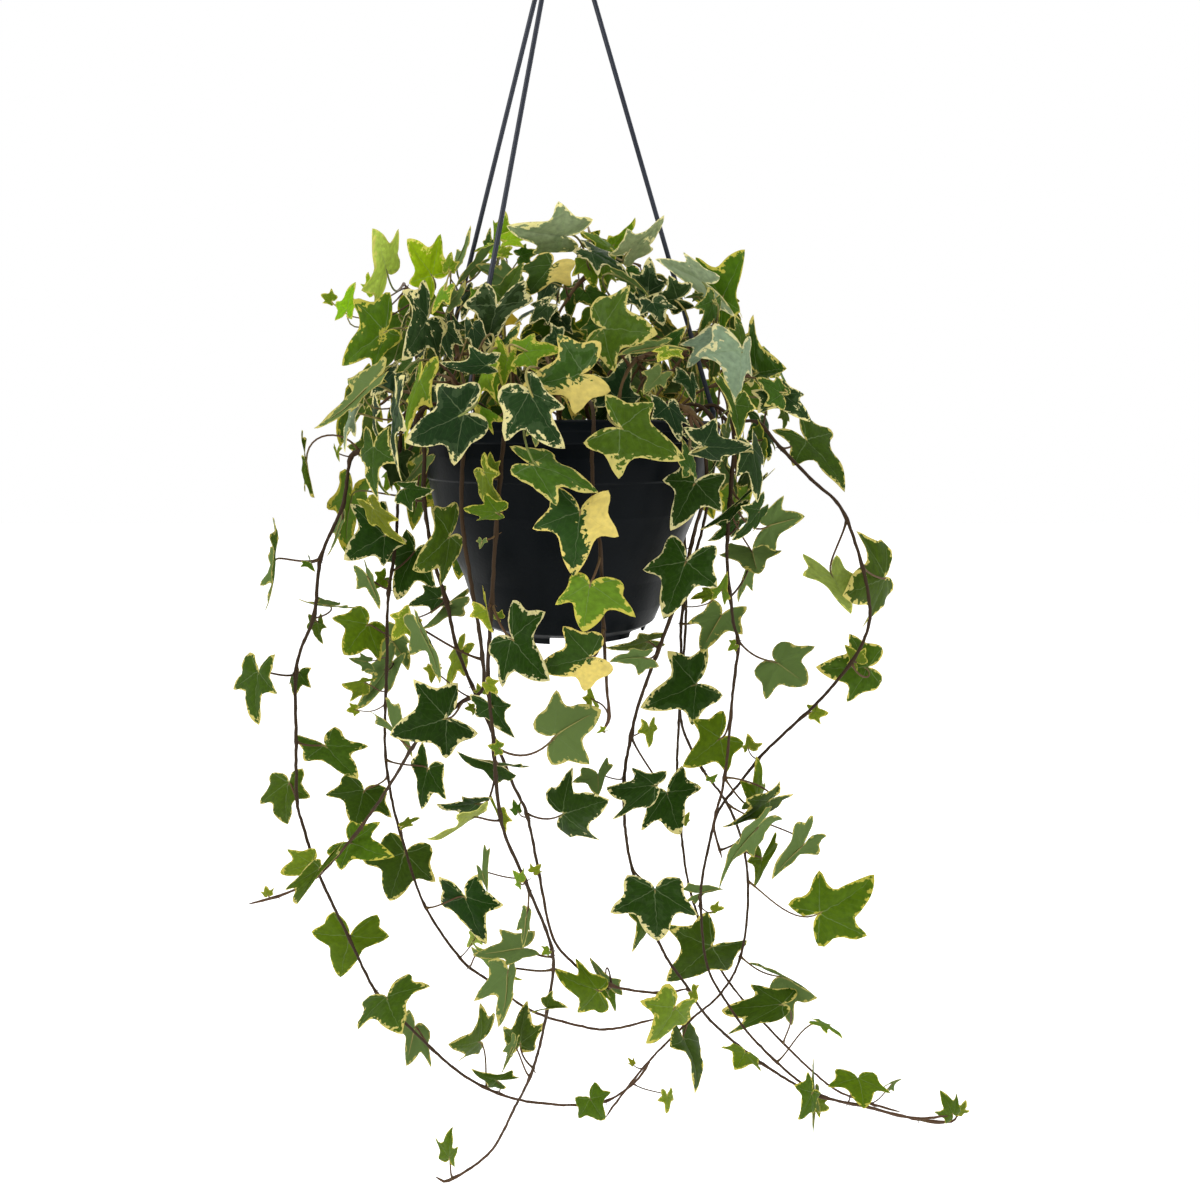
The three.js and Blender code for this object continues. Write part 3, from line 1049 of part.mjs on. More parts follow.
// Leaves that the front view doesn't show singly fill the crown between and behind the others.
// They stand round the stems, face away from the middle of the crown and hang a little.
const FILL = {
  step: 4, // in samples of a stem
  ways: 3,
  middle: 8, // above the rim
  lowest: -46,
  highest: 74,
  front: -62,
  reach: 114, // from the pot's axis
  overRim: 6, // lower leaves stay outside the rim
  aside: 9,
  lift: 7,
  shifts: [0, 5, -5, 10, 15],
};
const FILL_LEAF = { tilt: 0.4, rise: 0.25, spread: 0.9, droop: 0.8, length: 29, vary: 7 };
const FILL_LOBES = { middle: 0.36, halfWidth: 0.62 };
function fillBlade(point, way, turn, wobble, lift) {
  const out = point.clone().setZ(point.z - RIM_Z - FILL.middle).normalize();
  const level = new Vector3(-out.y, out.x, 0).normalize();
  const rising = out.clone().cross(level);
  const angle = (2 * Math.PI * way) / FILL.ways + turn;
  const aside = level.multiplyScalar(Math.cos(angle)).addScaledVector(rising, Math.sin(angle));
  const normal = out.clone().addScaledVector(aside, FILL_LEAF.tilt);
  normal.z += FILL_LEAF.rise;
  normal.normalize();
  const drop = aside.clone().multiplyScalar(FILL_LEAF.spread);
  drop.z -= FILL_LEAF.droop;
  const along = drop.addScaledVector(normal, -drop.dot(normal)).normalize();
  const across = along.clone().cross(normal).normalize();
  const length = FILL_LEAF.length + FILL_LEAF.vary * wobble;
  const base = point.clone().addScaledVector(aside, FILL.aside).addScaledVector(out, FILL.lift + lift);
  const middle = base.clone().addScaledVector(along, FILL_LOBES.middle * length);
  const lobe = (side) => middle.clone().addScaledVector(across, side * FILL_LOBES.halfWidth * length);
  return { base, tip: base.clone().addScaledVector(along, length), left: lobe(-1), right: lobe(1) };
}

function fillCrown(shoots) {
  shoots.forEach((shoot, number) => {
    for (let i = FILL.step; i < shoot.chord.length; i += FILL.step) {
      const point = shoot.chord[i];
      const height = point.z - RIM_Z;
      const radius = Math.hypot(point.x, point.y);
      if (height < FILL.lowest || height > FILL.highest || point.y < FILL.front) continue;
      if (radius > FILL.reach || (height < FILL.overRim && radius < RIM_RADIUS)) continue;
      for (let way = 0; way < FILL.ways; way++) {
        const wobble = Math.sin(1.7 * i + 2.3 * way + 0.9 * number);
        const pose = (lift) => fillBlade(point, way, 0.8 * i, wobble, lift);
        const leaf = { start: point, pose };
        settleLeaf(leaf, FILL.shifts);
        if (leaf.crowded) continue;
        routePetiole(leaf, shoot);
        if (leaf.crossed) continue;
        room.blades.add(leaf.beads, leaf);
        room.petioles.add(leaf.petioleBeads, leaf);
        shoot.leaves.push(leaf);
      }
    }
  });
}

const LONG_PETIOLE = 32; // drawn in three straight steps, a shorter one in two
function petioleSteps(curve) {
  return curve.getLength() > LONG_PETIOLE ? 3 : 2;
}

// A shoot's stem and leaves grown together, without the closed hollows that touching leaves may leave
const SHORTEST_EDGE = 0.05;
function shootSolid(shoot) {
  const solids = [rodSolid(shoot.curve, STEM_RADIUS, 4, shoot.steps)];
  for (const leaf of shoot.leaves) {
    if (leaf.size < SHORTEST_BLADE) continue;
    solids.push(leafSolid(leaf.petiole, leaf.points, petioleSteps(leaf.petiole)));
  }
  const skins = Manifold.union(solids).decompose();
  return Manifold.union(skins.filter((skin) => skin.volume() > 0)).simplify(SHORTEST_EDGE);
}

const plant = new THREE.Group();
plant.add(meshOf(potSolid(), "pot", potPlastic));
plant.add(meshOf(soilSolid(), "potting_mix", pottingMix));
plant.add(meshOf(hangerSolid(), "hanger", hangerPlastic));

const shoots = gatherShoots();
const hangerOwner = {};
for (const degrees of STRAND_ANGLES) room.rods.add(chordPoints(strandCurve(degrees), 1), hangerOwner);
for (const shoot of shoots) room.rods.add(shoot.chord, shoot);
growLeaves(shoots);
fillCrown(shoots);
shoots.forEach((shoot) => plant.add(meshOf(shootSolid(shoot), shoot.name, ivy)));

export default plant;
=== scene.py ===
# %% [markdown]
# This script dresses a measured model of a hanging ivy. The plant is a variegated ivy with small
# five-lobed leaves. It grows in a black nursery pot that hangs from a moulded hook with three strands.
# Shoots fill the top like a cushion, and long vines fall over the rim far below the pot.
# The measured model comes first. Every piece made here takes its place from it and moves with it.

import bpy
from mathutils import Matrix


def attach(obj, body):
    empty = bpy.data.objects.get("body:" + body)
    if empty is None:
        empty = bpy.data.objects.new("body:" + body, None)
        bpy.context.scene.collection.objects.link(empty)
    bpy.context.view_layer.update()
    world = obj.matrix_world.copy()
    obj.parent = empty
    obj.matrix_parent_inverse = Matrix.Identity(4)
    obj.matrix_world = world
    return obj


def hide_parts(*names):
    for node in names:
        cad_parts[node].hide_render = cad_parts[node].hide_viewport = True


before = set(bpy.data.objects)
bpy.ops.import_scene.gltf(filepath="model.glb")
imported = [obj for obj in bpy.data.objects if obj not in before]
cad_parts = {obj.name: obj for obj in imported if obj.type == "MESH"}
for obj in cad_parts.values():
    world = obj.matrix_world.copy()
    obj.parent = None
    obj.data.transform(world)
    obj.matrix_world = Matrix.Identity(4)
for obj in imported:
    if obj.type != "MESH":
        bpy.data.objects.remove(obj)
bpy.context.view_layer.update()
print("measured solids:", len(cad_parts))

# %% Tools for numbers, curves and meshes
import math

import bpy
import numpy as np
from mathutils import Matrix, Vector, noise

MM = 0.001
radians = math.radians
print("lengths are worked out in millimetres and made in metres")

# %% [markdown]
# The real sizes of the pot and its hanger, in millimetres from the point inside the hook that bears
# on a rail. They are the measured model's own sizes, so that each detailed piece fills the place of
# its solid. Only the rim's height and the strands' places are used all through the script.

# %% Sizes that the pieces share
RIM_RADIUS = 95.0
RIM_Z = -321.0
SOIL_Z = RIM_Z - 16.0
APEX_Z = RIM_Z + 275.0
STRAND_ANGLES = [165, 236, 350]
SEAT_RADIUS = 90.7
STRAND_RADIUS = 1.4
FLANGE = 2.6
BAND_DEPTH = 12.6
FOOT_RADIUS = 50.5
FOOT_DEPTH = 130.0
FLOOR_DEPTH = 124.0
GAP = 0.3
print("rim", 2 * RIM_RADIUS, "mm across,", -RIM_Z, "mm under the hook")

# %% [markdown]
# The camera stands where the plant is usually looked at: in front, level with the rim, and tilted
# down by about 11 degrees. Its lens is wide because it stands close, which makes the lower vines look
# nearer to each other than the crown.

# %% Camera
FRAME = 1200
FOCAL = 850
PITCH = radians(11.2)
EYE = np.array([21.0, -540.0, RIM_Z - 6.0])

scene = bpy.context.scene
camera_data = bpy.data.cameras.new("camera")
camera_data.sensor_width = 36
camera_data.lens = camera_data.sensor_width * FOCAL / FRAME
camera = bpy.data.objects.new("camera", camera_data)
camera.location = EYE * MM
camera.rotation_euler = (math.pi / 2 - PITCH, 0, 0)
scene.collection.objects.link(camera)
scene.camera = camera
scene.view_settings.view_transform = "Standard"
print("lens", camera_data.lens, "mm")


# %% [markdown]
# Two helpers make every shader graph short to read. The first adds a node, fills its inputs and links
# any input that is given as another node's socket. The second does one sum and returns its result.

# %% Helpers for shader nodes
def add_node(tree, kind, inputs=None, **settings):
    node = tree.nodes.new("ShaderNode" + kind)
    for name, value in settings.items():
        setattr(node, name, value)
    for name, value in (inputs or {}).items():
        if isinstance(value, bpy.types.NodeSocket):
            tree.links.new(value, node.inputs[name])
        else:
            node.inputs[name].default_value = value
    return node


def calc(tree, operation, *values):
    clamp = operation.endswith("!")
    numbered = dict(enumerate(values))
    node = add_node(tree, "Math", numbered, operation=operation.rstrip("!"), use_clamp=clamp)
    return node.outputs[0]


def blend_colors(tree, share, first, second, mode="MIX"):
    node = tree.nodes.new("ShaderNodeMix")
    node.data_type = "RGBA"
    node.blend_type = mode
    for index, value in ((0, share), (6, first), (7, second)):
        if isinstance(value, bpy.types.NodeSocket):
            tree.links.new(value, node.inputs[index])
        else:
            node.inputs[index].default_value = value
    return node.outputs[2]


def new_material(name):
    material = bpy.data.materials.new(name)
    material.use_nodes = True
    tree = material.node_tree
    return material, tree, tree.nodes["Principled BSDF"]


def new_group(name, inputs, outputs):
    group = bpy.data.node_groups.new(name, "ShaderNodeTree")
    for label, kind in inputs.items():
        group.interface.new_socket(label, in_out="INPUT", socket_type="NodeSocket" + kind)
    for label, kind in outputs.items():
        group.interface.new_socket(label, in_out="OUTPUT", socket_type="NodeSocket" + kind)
    source = group.nodes.new("NodeGroupInput").outputs
    target = group.nodes.new("NodeGroupOutput").inputs
    return group, source, target


def use_group(tree, group, inputs):
    node = add_node(tree, "Group", node_tree=group)
    for name, value in inputs.items():
        if isinstance(value, bpy.types.NodeSocket):
            tree.links.new(value, node.inputs[name])
        else:
            node.inputs[name].default_value = value
    return node.outputs


# A colour as it is read on a screen, from 0 to 255, turned into the light that a shader works in
def paint(red, green, blue):
    shares = [value / 255 for value in (red, green, blue)]
    light = [s / 12.92 if s <= 0.04045 else ((s + 0.055) / 1.055) ** 2.4 for s in shares]
    return (*light, 1.0)


print("shader helpers ready")

# %% [markdown]
# A plant like this is sold against plain white. A pale floor lies well under the lowest vine, and the
# air round it is white where the camera looks straight at it. What lights the leaves is softer: bright
# from above and behind, dim from the camera's side, so that the black pot stays black in the middle.

# %% Floor and surroundings
FLOOR_Z = -1.35
FLOOR_HALF = 9.0
corners = [(x * FLOOR_HALF, y * FLOOR_HALF, FLOOR_Z) for x, y in ((-1, -1), (1, -1), (1, 1), (-1, 1))]
floor_mesh = bpy.data.meshes.new("studio_floor")
floor_mesh.from_pydata(corners, [], [(0, 1, 2, 3)])
studio_floor = bpy.data.objects.new("studio_floor", floor_mesh)
scene.collection.objects.link(studio_floor)

floor_paint, tree, shader = new_material("studio floor")
shader.inputs["Base Color"].default_value = (0.9, 0.9, 0.89, 1)
shader.inputs["Roughness"].default_value = 0.95
shader.inputs["Emission Color"].default_value = (1, 1, 1, 1)
shader.inputs["Emission Strength"].default_value = 0.55
floor_mesh.materials.append(floor_paint)

world = bpy.data.worlds.new("white studio")
scene.world = world
world.use_nodes = True
tree = world.node_tree
way = add_node(tree, "TexCoord").outputs["Generated"]
parts = add_node(tree, "SeparateXYZ", {0: way}).outputs
behind = add_node(tree, "MapRange", {0: parts["Y"], 1: -0.9, 2: 0.6, 3: 0.08, 4: 0.85}).outputs[0]
above = calc(tree, "MULTIPLY", calc(tree, "MAXIMUM", parts["Z"], 0.0), 0.55)
glow = calc(tree, "ADD", behind, above)
soft = add_node(tree, "Background", {"Color": (1, 1, 1, 1), "Strength": glow})
white = add_node(tree, "Background", {"Color": (1, 1, 1, 1), "Strength": 1.0})
straight = add_node(tree, "LightPath").outputs["Is Camera Ray"]
seen = add_node(tree, "MixShader", {0: straight, 1: soft.outputs[0], 2: white.outputs[0]})
tree.links.new(seen.outputs[0], tree.nodes["World Output"].inputs["Surface"])
print("floor at", FLOOR_Z, "m")


# %% [markdown]
# Three large soft lamps stand in for studio boxes. One is high at the left and does most of the work,
# a weaker one at the right opens the shadows, and one behind shines through the thin leaves.

# %% Lamps
def soft_box(name, place, target, size, power):
    lamp = bpy.data.lights.new(name, "AREA")
    lamp.shape = "SQUARE"
    lamp.size = size
    lamp.energy = power
    box = bpy.data.objects.new(name, lamp)
    box.location = place
    box.rotation_euler = (Vector(target) - Vector(place)).to_track_quat("-Z", "Y").to_euler()
    scene.collection.objects.link(box)
    return box


MIDDLE = (0.02, 0.0, -0.45)
soft_box("key_box", (-1.3, -1.2, 0.9), MIDDLE, 1.3, 31)
soft_box("fill_box", (1.5, -1.0, 0.1), MIDDLE, 1.4, 11)
soft_box("back_box", (0.5, 1.6, 0.7), MIDDLE, 1.5, 20)
print("three soft boxes")


# %% [markdown]
# Round pieces are turned: a profile of radius and height goes round the upright axis, as clay goes
# round on a wheel. A tube follows a line of points and keeps its own radius at each of them. Its rings
# are carried along without twisting, so that the wall stays smooth where the line bends.

# %% Helpers for meshes
def link_mesh(name, points, faces, materials, face_material=None):
    mesh = bpy.data.meshes.new(name)
    mesh.from_pydata((np.asarray(points) * MM).tolist(), [], faces)
    for material in materials:
        mesh.materials.append(material)
    if face_material is not None:
        mesh.polygons.foreach_set("material_index", face_material)
    mesh.polygons.foreach_set("use_smooth", [True] * len(faces))
    mesh.update()
    piece = bpy.data.objects.new(name, mesh)
    scene.collection.objects.link(piece)
    return piece


def turned(profile, segments, closed=False):
    """Points and faces of a profile turned about the upright axis. It runs upwards on the outside."""
    points, rings = [], []
    for radius, height in profile:
        if radius < 1e-6:
            rings.append([len(points)] * segments)
            points.append((0.0, 0.0, height))
            continue
        rings.append(list(range(len(points), len(points) + segments)))
        for k in range(segments):
            angle = 2 * math.pi * k / segments
            points.append((radius * math.cos(angle), radius * math.sin(angle), height))
    faces = []
    pairs = list(zip(rings, rings[1:]))
    if closed:
        pairs.append((rings[-1], rings[0]))
    for low, high in pairs:
        for k in range(segments):
            n = (k + 1) % segments
            face = [low[k], low[n], high[n], high[k]]
            face = [v for i, v in enumerate(face) if v != face[i - 1]]
            if len(face) > 2:
                faces.append(face)
    return np.array(points), faces


def unit(vector):
    return vector / np.linalg.norm(vector)


def tube(line, radii, sides):
    """Points and faces of a closed tube along a line of points."""
    line = np.asarray(line, float)
    ways = np.gradient(line, axis=0)
    aside = np.cross(ways[0], (0.3, 1.0, 0.1))
    points = []
    angles = 2 * math.pi * np.arange(sides) / sides
    for centre, way, radius in zip(line, ways, radii):
        way = unit(way)
        aside = unit(aside - way * aside.dot(way))
        up = np.cross(way, aside)
        ring = np.outer(np.cos(angles), aside) + np.outer(np.sin(angles), up)
        points.append(centre + radius * ring)
    count = len(line)
    points = np.vstack([*points, line[:1], line[-1:]])
    faces = []
    for i in range(count - 1):
        for k in range(sides):
            n = (k + 1) % sides
            a, b = i * sides, (i + 1) * sides
            faces.append([a + k, a + n, b + n, b + k])
    first, last = count * sides, count * sides + 1
    for k in range(sides):
        n = (k + 1) % sides
        faces.append([first, n, k])
        faces.append([last, last - 1 - sides + k, last - 1 - sides + n])
    return points, faces


def join_parts(parts):
    """Joins pairs of points and faces into one pair."""
    points, faces, count = [], [], 0
    for some, own in parts:
        points.append(some)
        faces += [[v + count for v in face] for face in own]
        count += len(some)
    return np.vstack(points), faces


def round_off(profile, size=0.35):
    """Cuts each inner corner of a profile twice, which leaves a small round edge as moulding does."""
    rounded = [profile[0]]
    for before, corner, after in zip(profile, profile[1:], profile[2:]):
        before, corner, after = (np.array(p, float) for p in (before, corner, after))
        to, away = before - corner, after - corner
        reach = min(size, 0.3 * np.linalg.norm(to), 0.3 * np.linalg.norm(away))
        start, end = corner + reach * unit(to), corner + reach * unit(away)
        middle = (start + end + 2 * corner) / 4
        rounded += [tuple(start), tuple(middle), tuple(end)]
    return [*rounded, profile[-1]]


print("mesh helpers ready")

# %% [markdown]
# Two effects are shared by the plastics and the plant, so each is a node group. The first gives fine
# grain: a mask that wanders a little and a height for the bump. The second gives dust and scuffs,
# which lie in broad clouds with streaks down the side. Each material feeds in its own scales.

# %% Node groups for grain and dust
grain_group, source, target = new_group(
    "fine grain", {"Place": "Vector", "Scale": "Float"}, {"Cloud": "Float", "Height": "Float"}
)
tree = grain_group
broad = add_node(tree, "TexNoise", {"Vector": source["Place"], "Scale": source["Scale"], "Detail": 3.0})
fine_scale = calc(tree, "MULTIPLY", source["Scale"], 7.0)
fine = add_node(tree, "TexNoise", {"Vector": source["Place"], "Scale": fine_scale, "Detail": 2.0})
tree.links.new(broad.outputs[0], target["Cloud"])
tree.links.new(fine.outputs[0], target["Height"])

dust_group, source, target = new_group(
    "dust and scuffs", {"Place": "Vector", "Amount": "Float"}, {"Dust": "Float", "Scuff": "Float"}
)
tree = dust_group
clouds = add_node(tree, "TexNoise", {"Vector": source["Place"], "Scale": 14.0, "Detail": 6.0})
dusty = add_node(tree, "MapRange", {0: clouds.outputs[0], 1: 0.48, 2: 0.78, 3: 0.0, 4: 1.0}).outputs[0]
tree.links.new(calc(tree, "MULTIPLY!", dusty, source["Amount"]), target["Dust"])
stretched = add_node(tree, "Mapping", {"Vector": source["Place"], "Scale": (1.0, 1.0, 0.12)})
lines = add_node(tree, "TexNoise", {"Vector": stretched.outputs[0], "Scale": 260.0, "Detail": 2.0})
scuffed = add_node(tree, "MapRange", {0: lines.outputs[0], 1: 0.66, 2: 0.72, 3: 0.0, 4: 1.0}).outputs[0]
tree.links.new(calc(tree, "MULTIPLY!", scuffed, source["Amount"]), target["Scuff"])
print("groups:", grain_group.name, "and", dust_group.name)

# %% [markdown]
# The pot is moulded plastic that isn't quite black, as recycled plastic looks: it has a blue-grey cast,
# a satin skin with very fine pits, and a little dust and dried water on it. The hanger is injection
# moulded from a harder blue-grey plastic, smoother than the pot.


# %% Plastics
def plastic(name, color, dusty, roughness, dust_amount, pits, shine):
    material, tree, shader = new_material(name)
    where = add_node(tree, "TexCoord").outputs["Object"]
    grain = use_group(tree, grain_group, {"Place": where, "Scale": 60.0})
    dust = use_group(tree, dust_group, {"Place": where, "Amount": dust_amount})
    tinted = blend_colors(tree, dust["Dust"], color, dusty)
    shade = calc(tree, "MULTIPLY_ADD", grain["Cloud"], 0.5, 0.75)
    shaded = add_node(tree, "HueSaturation", {"Color": tinted, "Value": shade})
    tree.links.new(shaded.outputs[0], shader.inputs["Base Color"])
    rough = calc(tree, "MULTIPLY_ADD", grain["Cloud"], 0.18, roughness - 0.09)
    rough = calc(tree, "MULTIPLY_ADD", dust["Dust"], 0.35, rough)
    tree.links.new(calc(tree, "MULTIPLY_ADD", dust["Scuff"], 0.1, rough), shader.inputs["Roughness"])
    height = calc(tree, "ADD", grain["Height"], calc(tree, "MULTIPLY", dust["Scuff"], -0.4))
    bump = add_node(tree, "Bump", {"Strength": pits, "Distance": 0.0003, "Height": height})
    tree.links.new(bump.outputs[0], shader.inputs["Normal"])
    shader.inputs["Specular IOR Level"].default_value = shine
    return material


pot_plastic = plastic("pot plastic", paint(5, 9, 12), paint(22, 26, 31), 0.36, 0.2, 0.3, 0.05)
hanger_plastic = plastic("hanger plastic", paint(34, 38, 48), paint(74, 78, 86), 0.38, 0.2, 0.15, 0.25)
print("plastics:", pot_plastic.name, "and", hanger_plastic.name)

# %% [markdown]
# The pot is one moulding with a thin wall all round. A turned profile gives the broad rim band, the
# straight upper wall, the step a third of the way down and the taper to the foot. The corners are
# rounded a little, as no moulded edge is sharp. What isn't round is cut away afterwards: the notches
# in the foot ring, the drain holes in the floor and the three holes in the flange for the strands.

# %% Pot wall
WALL = 1.6
FOOT_RING = [
    (0, -FLOOR_DEPTH - WALL),
    (FOOT_RADIUS - 2, -FLOOR_DEPTH - WALL),
    (FOOT_RADIUS - WALL, -FOOT_DEPTH),
    (FOOT_RADIUS, -FOOT_DEPTH),
]
OUTER_WALL = [(51.5, -126.5), (56.6, -123), (61, -112), (66, -94), (74, -74), (82, -53), (85.4, -34)]
STRAIGHT_WALL = [(86.6, -33), (88, -20), (88, -FLANGE)]
RIM_BAND = [
    (93.4, -FLANGE),
    (93.5, -BAND_DEPTH),
    (RIM_RADIUS - 0.5, 0.8 - BAND_DEPTH),
    (RIM_RADIUS - 0.5, -6.2),
    (RIM_RADIUS - 0.1, -5.6),
    (RIM_RADIUS, -1.2),
    (93.6, 0),
]
INNER_WALL = [(86.4, 0), (86.2, -18), (83.6, -35), (80.2, -53.5), (72.2, -74.5), (59.2, -112)]
INNER_WALL.append((50.5, -124))
profile = round_off([*FOOT_RING, *OUTER_WALL, *STRAIGHT_WALL, *RIM_BAND, *INNER_WALL, (0, -FLOOR_DEPTH)])
points, faces = turned(profile, 144)
pot = link_mesh("nursery_pot", points + (0, 0, RIM_Z), faces, [pot_plastic])
print("pot wall of", len(faces), "faces")


# %% Holes and notches in the pot
def cutter(name, points, faces):
    block = link_mesh(name, points, faces, [])
    block.hide_render = True
    return block


def upright_drill(name, x, y, low, high, radius):
    points, faces = turned([(0, low), (radius, low), (radius, high), (0, high)], 28)
    return cutter(name, points + (x, y, RIM_Z), faces)


def foot_notch(name, angle):
    half = (6, 10.5, 4.5)
    signs = [(x, y, z) for z in (-1, 1) for x, y in ((-1, -1), (1, -1), (1, 1), (-1, 1))]
    block = np.array(signs, float) * half
    turn = np.array(Matrix.Rotation(angle, 3, "Z"))
    middle = (FOOT_RADIUS * math.cos(angle), FOOT_RADIUS * math.sin(angle), RIM_Z - FOOT_DEPTH)
    faces = [(3, 2, 1, 0), (4, 5, 6, 7), (0, 1, 5, 4), (1, 2, 6, 5), (2, 3, 7, 6), (3, 0, 4, 7)]
    return cutter(name, block @ turn.T + middle, faces)


def cut_away(piece, blocks):
    for block in blocks:
        change = piece.modifiers.new(block.name, "BOOLEAN")
        change.operation = "DIFFERENCE"
        change.solver = "EXACT"
        change.object = block
    shaped = piece.evaluated_get(bpy.context.evaluated_depsgraph_get())
    mesh = bpy.data.meshes.new_from_object(shaped)
    piece.modifiers.clear()
    piece.data = mesh
    for block in blocks:
        bpy.data.objects.remove(block)


def strand_seat(degrees):
    angle = radians(degrees)
    return np.array([SEAT_RADIUS * math.cos(angle), SEAT_RADIUS * math.sin(angle), RIM_Z])


blocks = []
for i in range(6):
    angle = radians(60 * i - 88)
    blocks.append(foot_notch(f"notch_{i}", angle))
    x, y = 30 * math.cos(angle), 30 * math.sin(angle)
    blocks.append(upright_drill(f"drain_{i}", x, y, -FLOOR_DEPTH - 5, 5 - FLOOR_DEPTH, 5))
for degrees in STRAND_ANGLES:
    x, y = strand_seat(degrees)[:2]
    blocks.append(upright_drill(f"seat_{degrees}", x, y, -6, 6, 1.9))
cut_away(pot, blocks)
pot.data.set_sharp_from_angle(angle=radians(38))
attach(pot, "root")
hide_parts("pot")
print("pot cut", len(blocks), "times, now", len(pot.data.polygons), "faces")

# %% [markdown]
# The potting mix is coir and fine bark. It fills the pot to a finger's width under the rim and shows
# from above, between the stems. A smooth disc would look like a lid, so the top is a fine grid that
# rises in soft lumps, and crumbs and bark chips lie half sunk in it.

# %% Potting mix
mix_brown, tree, shader = new_material("potting mix")
where = add_node(tree, "TexCoord").outputs["Object"]
grain = use_group(tree, grain_group, {"Place": where, "Scale": 180.0})
fibre = add_node(tree, "TexNoise", {"Vector": where, "Scale": 420.0, "Detail": 5.0, "Distortion": 1.5})
tone = blend_colors(tree, grain["Cloud"], paint(38, 25, 17), paint(84, 60, 42))
strands_seen = add_node(tree, "MapRange", {0: fibre.outputs[0], 1: 0.58, 2: 0.7}).outputs[0]
tone = blend_colors(tree, strands_seen, tone, paint(122, 92, 62))
tree.links.new(tone, shader.inputs["Base Color"])
shader.inputs["Roughness"].default_value = 0.95
bump = add_node(tree, "Bump", {"Strength": 0.8, "Distance": 0.0012, "Height": fibre.outputs[0]})
tree.links.new(bump.outputs[0], shader.inputs["Normal"])

MIX_SIDE = [(0, 0.3), (49.9, 0.3), (58.6, 12.3), (71.6, 49.8), (79.6, 70.8), (83, 89.3)]
MIX_RADIUS = 85.4
top = SOIL_Z - RIM_Z + FLOOR_DEPTH
rings = [(MIX_RADIUS * share, top) for share in np.linspace(1, 0, 48)]
points, faces = turned([*MIX_SIDE, *rings], 120)
spread = np.hypot(points[:, 0], points[:, 1])
for i in np.nonzero((points[:, 2] > top - 1) & (spread < MIX_RADIUS - 2))[0]:
    spot = Vector(points[i])
    lumps = 1.6 * noise.noise(spot / 14) + 0.9 * noise.noise(spot / 4.5)
    points[i, 2] += lumps - 0.6
mix_parts = [(points + (0, 0, RIM_Z - FLOOR_DEPTH), faces)]

rng = np.random.default_rng(7)
chip_points = np.array([(1, 0, 0), (0, 1, 0), (-1, 0, 0), (0, -1, 0), (0, 0, 1), (0, 0, -1)], float)
chip_faces = [(0, 1, 4), (1, 2, 4), (2, 3, 4), (3, 0, 4), (1, 0, 5), (2, 1, 5), (3, 2, 5), (0, 3, 5)]
for _ in range(520):
    far, turn = (MIX_RADIUS - 5) * math.sqrt(rng.random()), rng.random() * 2 * math.pi
    size = rng.uniform(0.8, 2.2) * np.array([rng.uniform(1, 2.2), 1, rng.uniform(0.4, 0.8)])
    tilt = np.array(Matrix.Rotation(rng.uniform(0, 3.1), 3, Vector(rng.normal(size=3))))
    chip = chip_points * size * rng.uniform(0.75, 1.2, (6, 1))
    middle = (far * math.cos(turn), far * math.sin(turn), SOIL_Z + 0.3)
    mix_parts.append((chip @ tilt.T + middle, chip_faces))
points, faces = join_parts(mix_parts)
potting_mix = link_mesh("potting_mix_top", points, faces, [mix_brown])
potting_mix.data.set_sharp_from_angle(angle=radians(50))
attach(potting_mix, "root")
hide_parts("potting_mix")
print("potting mix with", len(mix_parts) - 1, "crumbs and chips")

# %% [markdown]
# The hanger is one moulding: a hook, a small hub and three thin strands. Each strand ends in a barbed
# pin that snaps into the pot's flange. A curve through a few points gives the hook its sweep, with the
# same rule as in the measured model, so that hook and solid agree.


# %% Smooth curves
def smooth_curve(corners):
    """A curve through all its corners. The result gives its points for shares of the way."""
    corners = np.asarray(corners, float)
    start = 2 * corners[0] - corners[1]
    end = 2 * corners[-1] - corners[-2]
    padded = np.vstack([start, corners, end])
    spans = len(corners) - 1

    def points_at(shares):
        along = np.atleast_1d(shares) * spans
        span = np.minimum(along.astype(int), spans - 1)
        t = (along - span)[:, None]
        before, first, second, after = (padded[span + k] for k in range(4))
        leave, meet = (second - before) / 2, (after - first) / 2
        bend = -3 * first + 3 * second - 2 * leave - meet
        twist = 2 * first - 2 * second + leave + meet
        return first + leave * t + bend * t**2 + twist * t**3

    return points_at


def bowed_curve(start, leave, meet, end):
    """A curve from start to end that is pulled towards two points on its way."""

    def points_at(shares):
        t = np.atleast_1d(shares)[:, None]
        s = 1 - t
        return start * s**3 + 3 * leave * s**2 * t + 3 * meet * s * t**2 + end * t**3

    return points_at


LENGTH_STEPS = 200


def measured(points_at):
    """The shares of a curve and the length from its start to each."""
    shares = np.linspace(0, 1, LENGTH_STEPS + 1)
    steps = np.linalg.norm(np.diff(points_at(shares), axis=0), axis=1)
    return shares, np.concatenate([[0], np.cumsum(steps)])


def length_of(points_at):
    return measured(points_at)[1][-1]


def evenly(points_at, steps):
    """Points at even distances along a curve."""
    shares, lengths = measured(points_at)
    return points_at(np.interp(np.linspace(0, lengths[-1], steps + 1), lengths, shares))


print("curves ready")

# %% Hanger
HUB_HEIGHT = 12.0
SHANK = 34.0
HOOK_RADIUS = 12.0
ROD_RADIUS = 2.5
PIN_TOP = 7.0

